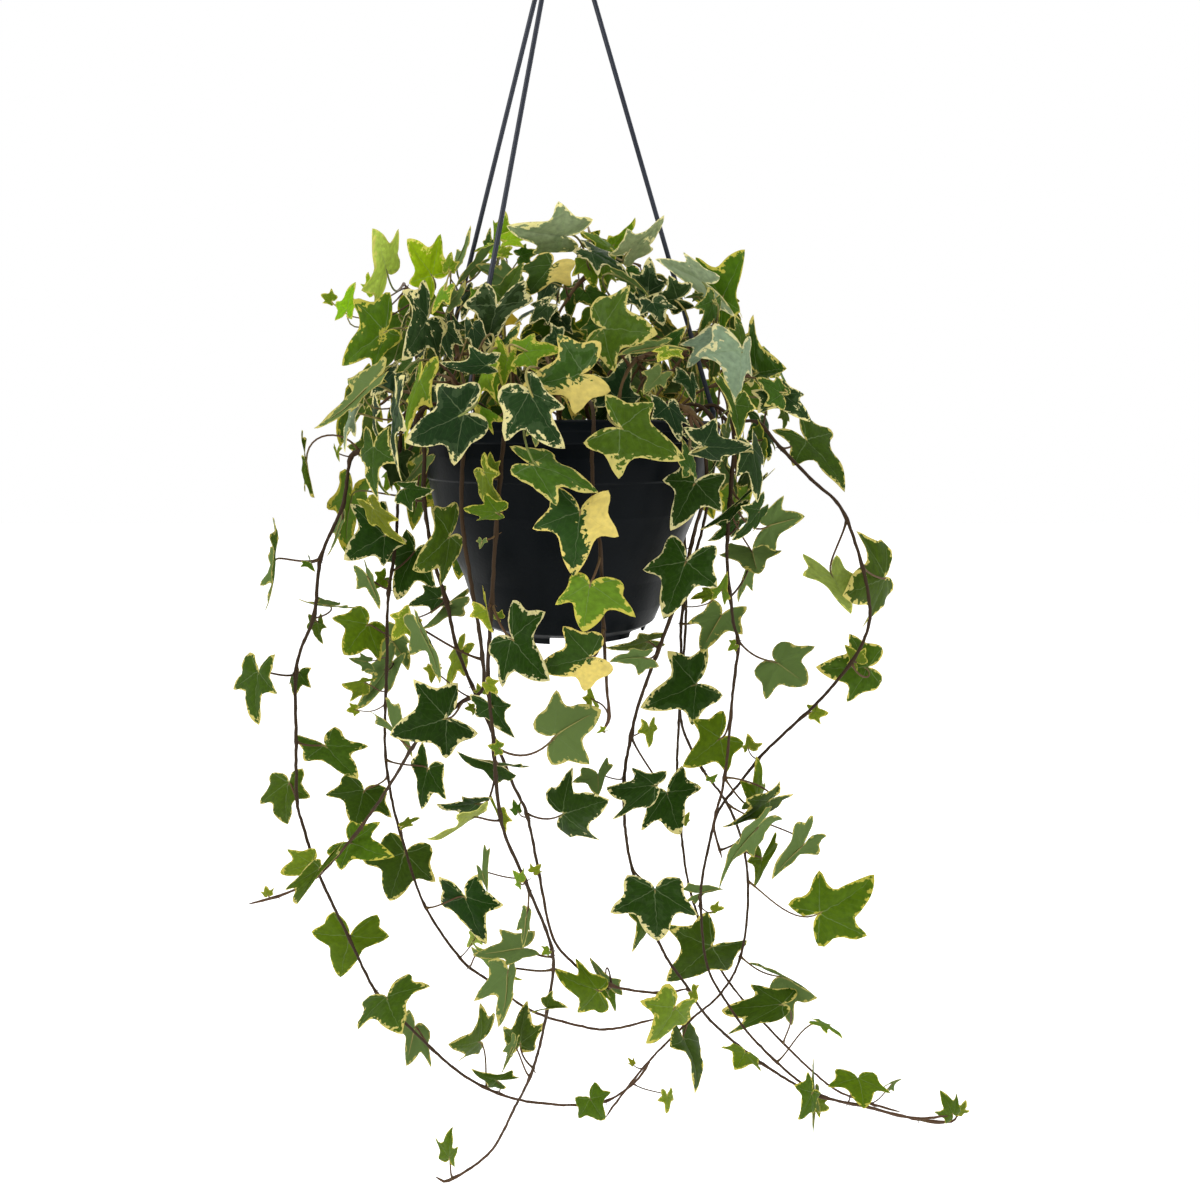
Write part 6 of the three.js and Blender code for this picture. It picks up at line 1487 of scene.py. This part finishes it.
def gather_shoots():
    gathered = []
    for row in SHOOTS:
        stem = grow_stem(stem_corners(row["root"], row["over"], row["route"]))
        leaves = []
        for leaf in row["leaves"]:
            start = nearest_seen(stem["beads"], leaf[6]) if len(leaf) > 6 else None
            depth = leaf[4] + (crown_depth(leaf[0]) if start is None else start[1])
            pose = lambda shift, leaf=leaf, depth=depth: seen_blade(leaf, depth + shift)
            leaves.append({"kind": leaf[5], "start": start, "pose": pose, "seen": True})
        gathered.append({"name": row["name"], "leaves": leaves, **stem})
    spread = (BACK["to"] - BACK["from"]) / (BACK["shoots"] - 1)
    back = []
    for i in range(BACK["shoots"]):
        angle = BACK["from"] + spread * i
        back.append(back_shoot(f"crown_shoot_{14 + i}", angle, BACK_STEM, False, math.sin(2.4 * i)))
    for i, angle in enumerate(BACK_VINES):
        wobble = math.cos(2.1 * i)
        back.append(back_shoot(f"trailing_vine_{12 + i}", angle, BACK_VINE_STEM, True, wobble))
    # lit among these paints light shining through the leaf, and dark paints shade as well as old green
    kinds = ["dark", "mid", "dark", "lit", "mid", "young"]
    for shoot in back:
        stem = grow_stem(shoot["corners"])
        leaves = []
        for i, share in enumerate(shoot["shares"]):
            start = stem["beads"][math.floor((share - 0.03) * (len(stem["beads"]) - 1) + 0.5)]
            pose = lambda shift, s=shoot, c=stem["curve"], i=i: back_blade(s, c, i, -shift)
            leaves.append({"kind": kinds[i], "start": start, "pose": pose, "seen": False})
        gathered.append({"name": shoot["name"], "leaves": leaves, **stem})
    return gathered


shoots = gather_shoots()
print("shoots:", len(shoots))

# %% [markdown]
# Each leaf tries the place that the table gives, then places a little nearer or further, and keeps the
# first one with room. A leaf of the table that finds none keeps the least crowded place, and one of
# the unseen back is left out.

# %% Leaves find room
SHIFTS = [0, 4, -4, 8, -8, 12, -12, 16, -16, 20, -20, 25, -25, 30, 36, 42]
HANGER_OWNER = 1000
rods, blades, stalks = new_store(), new_store(), new_store()


def strand_beads(degrees):
    seat = strand_seat(degrees)
    out = unit(np.array([seat[0], seat[1], 0]))
    apex = out * 4 + (0, 0, APEX_Z + 2)
    end = seat + (0, 0, PIN_TOP - 2)
    return beads_along(lambda shares: apex + (end - apex) * np.atleast_1d(shares)[:, None], 1)


def settle_leaf(leaf, shifts):
    leaf["crowd"] = math.inf
    for shift in shifts:
        blade = leaf["pose"](shift)
        beads = blade_beads(blade)
        crowd = clashes(beads, blades, CLEAR["blade"])
        crowd += clashes(beads, rods, CLEAR["blade_to_stem"])
        crowd += clashes(beads, stalks, CLEAR["rod_to_blade"])
        crowd += int((pot_room(beads) < CLEAR["blade_to_pot"]).sum())
        if crowd < leaf["crowd"]:
            leaf.update(crowd=crowd, blade=blade, beads=beads)
        if not crowd:
            break


for degrees in STRAND_ANGLES:
    take_room(rods, strand_beads(degrees), HANGER_OWNER)
for number, shoot in enumerate(shoots):
    take_room(rods, shoot["beads"], number)
leaf_count = 0
for shoot in shoots:
    for leaf in shoot["leaves"]:
        settle_leaf(leaf, SHIFTS)
        leaf_count += 1
        leaf["number"] = leaf_count
        if leaf["seen"] or not leaf["crowd"]:
            take_room(blades, leaf["beads"], leaf["number"])
    shoot["leaves"] = [leaf for leaf in shoot["leaves"] if leaf["seen"] or not leaf["crowd"]]
print("leaves with room:", sum(len(shoot["leaves"]) for shoot in shoots))

# %% [markdown]
# A leaf stalk leaves its stem, bows a little and meets the blade from behind. It tries the straight
# way first, then bows to all sides, until it is clear of blades, stems and other stalks. If no way is
# clear, the one that comes too near at the fewest points is kept.

# %% Stalks find their way
REACHES = (0, 0.35, -0.35, 0.7, -0.7, 1.1, -1.1)
HEIGHTS = (0, 0.4, -0.4, 0.8, -0.8, 1.3, 1.9)
BOWS = [(reach, height) for reach in REACHES for height in HEIGHTS]
SHORTEST_STALK = 10


def stalk_curve(start, blade, bow):
    base = blade["base"]
    gap = span(start, base)
    along = unit(blade["tip"] - base)
    pull = np.array([0, bow[0], bow[1]]) * 0.4 * gap
    leave = start + (base - start) * 0.3 + pull
    meet = base - along * 0.3 * gap + pull * 0.6
    return bowed_curve(start, leave, meet, base + along * min(2, 0.08 * gap))


def stalk_start(beads, base):
    free = beads[beads[:, 2] > RIM_Z + 4]
    misses = np.abs(np.linalg.norm(free - base, axis=1) - SHORTEST_STALK)
    return free[np.argmin(misses)]


def route_stalk(leaf, shoot, number):
    start = leaf["start"]
    if start is None:
        start = stalk_start(shoot["beads"], leaf["blade"]["base"])
    leaf["crossed"] = math.inf
    for bow in BOWS:
        curve = stalk_curve(start, leaf["blade"], bow)
        beads = beads_along(curve, 3 if length_of(curve) > 32 else 2)
        free = beads[np.linalg.norm(beads - start, axis=1) > 4]
        crossed = clashes(beads, rods, CLEAR["rod"], number)
        if len(free):
            crossed += clashes(free, blades, CLEAR["rod_to_blade"], leaf["number"])
            crossed += clashes(free, stalks, CLEAR["rod"])
            crossed += int((pot_room(free) < CLEAR["rod_to_pot"]).sum())
        if crossed < leaf["crossed"]:
            leaf.update(crossed=crossed, stalk=curve, stalk_start=start, stalk_beads=beads)
        if not crossed:
            break


for number, shoot in enumerate(shoots):
    for leaf in shoot["leaves"]:
        route_stalk(leaf, shoot, number)
        if leaf["seen"] or not leaf["crossed"]:
            take_room(stalks, leaf["stalk_beads"], leaf["number"])
    lost = [leaf["number"] for leaf in shoot["leaves"] if leaf["crossed"] and not leaf["seen"]]
    shoot["leaves"] = [leaf for leaf in shoot["leaves"] if leaf["number"] not in lost]
    kept = ~np.isin(blades["owners"], lost)
    blades["points"], blades["owners"] = blades["points"][kept], blades["owners"][kept]
print("leaves kept:", sum(len(shoot["leaves"]) for shoot in shoots))

# %% [markdown]
# The crown of a full plant is several leaves deep. Leaves that the front view doesn't show singly fill
# it between and behind the others: at every few beads of a stem, three places round it are tried. Such
# a leaf faces away from the middle of the crown and hangs a little, and it stays only where it fits.

# %% Leaves that fill the crown
FILL_STEP = 4
FILL_WAYS = 3
FILL_MIDDLE = 8
FILL_HEIGHTS = (-46, 74)
FILL_FRONT = -62
FILL_REACH = 114
FILL_ASIDE = 9
FILL_LIFT = 7
FILL_SHIFTS = [0, 5, -5, 10, 15]


def fill_blade(point, way, turn, wobble, lift):
    out = unit(point - (0, 0, RIM_Z + FILL_MIDDLE))
    level = unit(np.array([-out[1], out[0], 0]))
    angle = 2 * math.pi * way / FILL_WAYS + turn
    aside = level * math.cos(angle) + np.cross(out, level) * math.sin(angle)
    normal = unit(out + aside * 0.4 + (0, 0, 0.25))
    drop = aside * 0.9 - (0, 0, 0.8)
    along = unit(drop - normal * drop.dot(normal))
    across = unit(np.cross(along, normal))
    length = 29 + 7 * wobble
    base = point + aside * FILL_ASIDE + out * (FILL_LIFT + lift)
    middle = base + along * 0.36 * length
    left, right = middle - across * 0.62 * length, middle + across * 0.62 * length
    return {"base": base, "tip": base + along * length, "left": left, "right": right}


def fits_here(point):
    height = point[2] - RIM_Z
    radius = math.hypot(point[0], point[1])
    if not FILL_HEIGHTS[0] <= height <= FILL_HEIGHTS[1] or point[1] < FILL_FRONT or radius > FILL_REACH:
        return False
    return height >= 6 or radius >= RIM_RADIUS


# The fill leaves take these kinds in turn: lit paints light shining through the leaf, dark paints shade as
# well as old green
FILL_KINDS = ["dark", "mid", "dark", "mid", "lit", "dark", "cream", "mid"]
filled = 0
for number, shoot in enumerate(shoots):
    for i in range(FILL_STEP, len(shoot["beads"]), FILL_STEP):
        point = shoot["beads"][i]
        if not fits_here(point):
            continue
        for way in range(FILL_WAYS):
            wobble = math.sin(1.7 * i + 2.3 * way + 0.9 * number)
            pose = lambda lift, p=point, w=way, i=i, v=wobble: fill_blade(p, w, 0.8 * i, v, lift)
            leaf_count += 1
            kind = FILL_KINDS[leaf_count % len(FILL_KINDS)]
            leaf = {"kind": kind, "start": point, "pose": pose, "number": leaf_count, "seen": False}
            settle_leaf(leaf, FILL_SHIFTS)
            if leaf["crowd"]:
                continue
            route_stalk(leaf, shoot, number)
            if leaf["crossed"]:
                continue
            take_room(blades, leaf["beads"], leaf_count)
            take_room(stalks, leaf["stalk_beads"], leaf_count)
            shoot["leaves"].append(leaf)
            filled += 1
print("leaves that fill the crown:", filled)

# %% [markdown]
# Now the real leaves. Each takes the flat outline, stretched between its four points, and is then
# shaped as a living leaf is: the side lobes and the tip bend back, the blade swells between the main
# veins, and the edge is wavy. Then it gets a thickness of a third of a millimetre. No two leaves are
# bent alike, because each draws its own amounts.

# %% Shape of a living leaf
BLADE_THICKNESS = 0.34
VEIN_WAYS = np.array(list(VEINS.values()))


def fold_normal(blade):
    """Halfway between the upper sides of both halves, which a sharply folded leaf needs."""
    axis = blade["tip"] - blade["base"]
    right = unit(np.cross(blade["right"] - blade["base"], axis))
    return unit(right + unit(np.cross(axis, blade["left"] - blade["base"])))


def blade_surface(blade, grid, rng):
    """The middle surface of a leaf in space, and the one way its upper side faces for the whole leaf."""
    x, y = grid["flat"].T
    share = x / SIDE_TIP[0]
    along = y - SIDE_TIP[1] * np.abs(share)
    base, tip = blade["base"], blade["tip"]
    lobe = np.where(x[:, None] > 0, blade["right"] - base, blade["left"] - base)
    points = base + along[:, None] * (tip - base) + np.abs(share)[:, None] * lobe
    normal = fold_normal(blade)
    length = span(base, tip)
    width = span(blade["left"], blade["right"])
    size = math.sqrt(length * width)

    fan = np.abs(np.stack([np.abs(x) * way[1] - y * way[0] for way in VEIN_WAYS]))
    ahead = np.stack([np.abs(x) * way[0] + y * way[1] for way in VEIN_WAYS])
    fan[ahead < 0] = np.hypot(x, y)[None].repeat(3, 0)[ahead < 0]
    swell = np.minimum(fan.min(0) / 0.1, 1) ** 0.8 * rng.uniform(0.016, 0.028)
    tip_curl = -np.maximum(0, y - 0.3) ** 2 * rng.uniform(0.14, 0.42)
    side_curl = -(np.abs(x) ** 2) * rng.uniform(0.14, 0.5)
    back_curl = -np.maximum(0, -y) ** 1.5 * rng.uniform(-0.2, 0.35)
    fold = np.abs(x) * rng.uniform(-0.03, 0.09)
    turn = np.arctan2(x - HUB[0], y - HUB[1])
    edge = np.exp(-grid["gap"] / 0.08)
    waves = edge * (
        0.022 * np.sin(rng.integers(5, 8) * turn + rng.uniform(0, 6))
        + 0.01 * np.sin(rng.integers(11, 16) * turn + rng.uniform(0, 6))
    )
    height = (swell + tip_curl + side_curl + back_curl + fold + waves) * size
    height -= height[0] * 0.5
    rooted = np.minimum(1, np.hypot(x, y) / 0.25)
    return points + (height * rooted)[:, None] * normal, normal


def leaf_sheet(blade, grid, rng):
    """A closed thin leaf: points, faces, and for each face 0 for the upper side or 1 for the underside."""
    middle, normal = blade_surface(blade, grid, rng)
    count, rim = len(middle), grid["count"]
    thin = np.full(count, BLADE_THICKNESS / 2)
    thin[-rim:] *= 0.55
    points = np.vstack([middle + thin[:, None] * normal, middle - thin[:, None] * normal])
    upper = [list(face) for face in grid["faces"]]
    under = [[v + count for v in face[::-1]] for face in grid["faces"]]
    first = count - rim
    edge = []
    for k in range(rim):
        a, b = first + k, first + (k + 1) % rim
        edge.append([b, a, a + count, b + count])
    sides = [0] * len(upper) + [1] * (len(under) + len(edge))
    return points, upper + under + edge, sides


print("leaves are", BLADE_THICKNESS, "mm thick")

# %% [markdown]
# Young leaves are bright yellow-green with a yellow edge. Old ones are dark and slightly blue, and
# their edge has faded to cream. The kind from the table sets the two colours and how wide the edge
# is, and each leaf strays a little from its kind. Some kinds carry painted light: lit, bright and pale
# are lighter greens that paint the light shining through a leaf held against the light, silver paints
# the grey-blue sheen where a leaf's gloss catches the light, and dark, besides the green of old
# leaves, paints the shade of leaves deep in the crown.

# %% Colours of the leaves
LEAF_KINDS = {
    # dark is the green of old leaves, and on leaves deep in the crown it also paints the shade they lie in
    "dark": {"green": (34, 58, 22), "margin": (222, 214, 160), "edge": 0.028, "fade": 0.5, "grey": 0.6},
    "mid": {"green": (64, 96, 24), "margin": (206, 196, 116), "edge": 0.026, "fade": 0.5, "grey": 0.4},
    "young": {"green": (110, 140, 22), "margin": (206, 198, 90), "edge": 0.045, "fade": 0.3, "grey": 0},
    # lit and bright are lighter greens that paint the light shining through leaves held against the light
    "lit": {"green": (84, 116, 8), "margin": (194, 188, 80), "edge": 0.022, "fade": 0.3, "grey": 0.2},
    "bright": {"green": (130, 164, 8), "margin": (208, 206, 96), "edge": 0.022, "fade": 0.3, "grey": 0},
    # pale paints the same light shining through the leaf
    "pale": {"green": (160, 184, 92), "margin": (214, 214, 120), "edge": 0.02, "fade": 0.3, "grey": 0},
    # silver is a painted sheen: the grey-blue shine of a gloss catching the light, put into the colour
    "silver": {"green": (142, 160, 130), "margin": (232, 226, 180), "edge": 0.026, "fade": 0.5, "grey": 0.8},
    "under": {"green": (94, 120, 58), "margin": (196, 188, 112), "edge": 0.026, "fade": 0.75, "grey": 0.2},
    "cream": {"green": (54, 84, 26), "margin": (226, 210, 124), "edge": 0.034, "fade": 0.5, "grey": 0.5},
}
HANGING_GREEN = {
    "dark": (38, 66, 4),
    "mid": (66, 90, 8),
    # lit, bright and pale here also paint light shining through the leaf
    "lit": (86, 114, 6),
    "bright": (106, 136, 22),
    "pale": (152, 168, 84),
    "under": (74, 98, 26),
    "young": (116, 136, 30),
}


def leaf_colors(leaf, hangs, rng):
    facts = LEAF_KINDS[leaf["kind"]]
    green = HANGING_GREEN.get(leaf["kind"], facts["green"]) if hangs else facts["green"]
    green, margin = np.array(paint(*green)), np.array(paint(*facts["margin"]))
    warm = rng.normal(0, 0.09)
    green[:3] *= rng.uniform(0.78, 1.22) * np.array([1 + warm, 1, 1 - 1.5 * warm])
    margin[:3] *= rng.uniform(0.85, 1.05)
    width = facts["edge"] * rng.uniform(0.7, 1.4) * (0.8 if hangs else 1)
    half = leaf["blade"].get("swap", 1) if leaf["kind"] == "cream" else 0
    more = (half, facts["grey"] * rng.uniform(0.2, 1) * (0.3 if hangs else 1), 0.3 if hangs else 0.8)
    return np.clip(green, 0, 1), np.clip(margin, 0, 1), (rng.uniform(0, 1), width, facts["fade"]), more


print("kinds of leaf:", ", ".join(LEAF_KINDS))

# %% [markdown]
# The stalk runs on under the blade as its midrib, thinner and thinner, and is swollen where it leaves
# the stem. The stem tapers to its tip, thickens at each leaf and carries short rootlets there, with
# which ivy clings to walls.


# %% Stalks and stems
STALK_SAG = 4.0
STALK_RADIUS = 0.72
RIB_SHARES = (0.12, 0.24, 0.38, 0.56, 0.74)
RIB_RADII = (0.44, 0.36, 0.3, 0.22, 0.14)
STEM_ROOT_RADIUS = 1.1
STEM_TIP_RADIUS = 0.85


def midrib_line(surface, flat):
    """The underside of a leaf below its midrib, at the places where the rib is drawn."""
    middle = [k for k, (x, y) in enumerate(flat) if abs(x) < 1e-6 and y > 0]
    middle.sort(key=lambda k: flat[k][1])
    shares = [flat[k][1] for k in middle]
    return np.column_stack([np.interp(RIB_SHARES, shares, surface[middle, axis]) for axis in range(3)])


def leaf_stalk(leaf, line, normal, size, trails):
    small = min(1, max(0.7, size / 24))
    shares = np.linspace(0, 0.97, 13)
    way = leaf["stalk"](shares)
    start = line[np.argmin(np.linalg.norm(line - way[0], axis=1))]
    way += (start - way[0]) * (1 - shares[:, None]) ** 2
    sag = min(STALK_SAG, 0.13 * length_of(leaf["stalk"]))
    way[:, 2] -= sag * np.sin(math.pi * shares)
    rib_radii = np.array(RIB_RADII) * small
    ribs = leaf["midrib"] - normal * (0.8 * rib_radii)[:, None]
    line = np.vstack([way, ribs])
    radii = np.concatenate([np.linspace(STALK_RADIUS, 0.58, 13) * small, rib_radii])
    radii[:2] *= (1.7, 1.25)
    points, faces = tube(line, radii, 8)
    ages = np.concatenate([np.linspace(*((0.9, 0.35) if trails else (0.6, 0.15)), 13), np.full(5, 0.1)])
    ages = np.concatenate([ages.repeat(8), [ages[0], ages[-1]]])
    return points, faces, ages


def stem_tube(shoot, trails, rng):
    length = length_of(shoot["curve"])
    count = max(12, round(length / 3.2))
    line = evenly(shoot["curve"], count)
    shares = np.linspace(0, 1, count + 1)
    radii = STEM_ROOT_RADIUS + (STEM_TIP_RADIUS - STEM_ROOT_RADIUS) * shares**1.6
    radii = radii * (1 if trails else 0.8)
    for leaf in shoot["leaves"]:
        away = np.linalg.norm(line - leaf["stalk_start"], axis=1)
        radii += 0.3 * np.exp(-(((away - away.min()) / 2.6) ** 2))
    radii *= 1 + 0.06 * rng.normal(size=count + 1)
    radii[-3:] *= (0.9, 0.75, 0.4)
    line[1:-1] += rng.normal(0, 0.1, (count - 1, 3))
    points, faces = tube(line, radii, 10)
    ages = 1 - 0.45 * shares**2.5
    ages = np.concatenate([ages.repeat(10), [ages[0], ages[-1]]])
    return points, faces, ages, line


def rootlets(shoot, line, rng):
    made = []
    for leaf in shoot["leaves"]:
        for _ in range(rng.integers(0, 4)):
            near = line[np.argmin(np.linalg.norm(line - leaf["stalk_start"], axis=1))]
            way = unit(rng.normal(size=3) + (0, 0, -0.4))
            bend = rng.normal(0, 0.5, 3)
            length = rng.uniform(1.8, 4.2)
            steps = np.linspace(0, 1, 5)[:, None]
            root = near + way * length * steps + bend * steps**2
            points, faces = tube(root, [0.42, 0.36, 0.3, 0.22, 0.1], 5)
            made.append((points, faces, np.full(len(points), 0.75)))
    return made


print("stalk radius", STALK_RADIUS, "mm, stem radius", STEM_ROOT_RADIUS, "to", STEM_TIP_RADIUS, "mm")


# %% [markdown]
# Every shoot becomes two pieces: its leaves, and its stem with all stalks. Both stand for the shoot's
# one measured solid. The numbers that the shaders read are kept on the points of the mesh.

# %% Build the shoots
def store(mesh, name, kind, values):
    made = mesh.attributes.new(name, kind, "POINT")
    field = "color" if kind == "FLOAT_COLOR" else "vector"
    made.data.foreach_set(field, np.asarray(values, np.float32).ravel())


def build_leaves(shoot, rng):
    parts, sides, flats, greens, margins, facts, halves = [], [], [], [], [], [], []
    for leaf in shoot["leaves"]:
        size = span(leaf["blade"]["base"], leaf["blade"]["tip"])
        grid = rng.choice(FINE_LEAVES if size > 20 else SMALL_LEAVES, p=(0.2, 0.4, 0.4))
        points, faces, own_sides = leaf_sheet(leaf["blade"], grid, rng)
        count = len(grid["flat"])
        leaf["midrib"] = midrib_line(points[count:], grid["flat"])
        parts.append((points, faces))
        sides += own_sides
        flat = np.column_stack([grid["flat"], grid["gap"]])
        flats += [flat, flat]
        green, margin, own, more = leaf_colors(leaf, shoot["name"].startswith("trailing"), rng)
        greens.append(np.tile(green, (2 * count, 1)))
        margins.append(np.tile(margin, (2 * count, 1)))
        facts.append(np.tile(own, (2 * count, 1)))
        halves.append(np.tile(more, (2 * count, 1)))
    points, faces = join_parts(parts)
    piece = link_mesh(shoot["name"] + "_leaves", points, faces, [leaf_top, leaf_back], sides)
    store(piece.data, "leaf_flat", "FLOAT_VECTOR", np.vstack(flats))
    store(piece.data, "leaf_green", "FLOAT_COLOR", np.vstack(greens))
    store(piece.data, "leaf_margin", "FLOAT_COLOR", np.vstack(margins))
    store(piece.data, "leaf_facts", "FLOAT_VECTOR", np.vstack(facts))
    store(piece.data, "leaf_half", "FLOAT_VECTOR", np.vstack(halves))
    piece.data.set_sharp_from_angle(angle=radians(62))
    return piece


def build_stem(shoot, rng):
    trails = shoot["name"].startswith("trailing")
    points, faces, ages, line = stem_tube(shoot, trails, rng)
    parts, woods, paths = [(points, faces)], [ages], [np.full(len(points), 0.0 if trails else 0.65)]
    for leaf in shoot["leaves"]:
        normal = fold_normal(leaf["blade"])
        size = span(leaf["blade"]["base"], leaf["blade"]["tip"])
        points, faces, ages = leaf_stalk(leaf, line, normal, size, trails)
        parts.append((points, faces))
        woods.append(ages)
        paths.append(np.full(len(points), rng.uniform(0, 1)))
    for points, faces, ages in rootlets(shoot, line, rng):
        parts.append((points, faces))
        woods.append(ages)
        paths.append(np.full(len(points), 0.6))
    points, faces = join_parts(parts)
    piece = link_mesh(shoot["name"] + "_stem", points, faces, [stem_bark])
    woods, paths = np.concatenate(woods), np.concatenate(paths)
    store(piece.data, "stem_facts", "FLOAT_VECTOR", np.column_stack([woods, paths, 0 * paths]))
    return piece


faces_made = 0
for number, shoot in enumerate(shoots):
    rng = np.random.default_rng(100 + number)
    leaves = build_leaves(shoot, rng)
    stem = build_stem(shoot, rng)
    for piece, slot in ((leaves, "ivy_leaf"), (stem, "ivy_stem")):
        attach(piece, "root")
        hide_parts(shoot["name"])
        faces_made += len(piece.data.polygons)
print("shoots built with", faces_made, "faces")
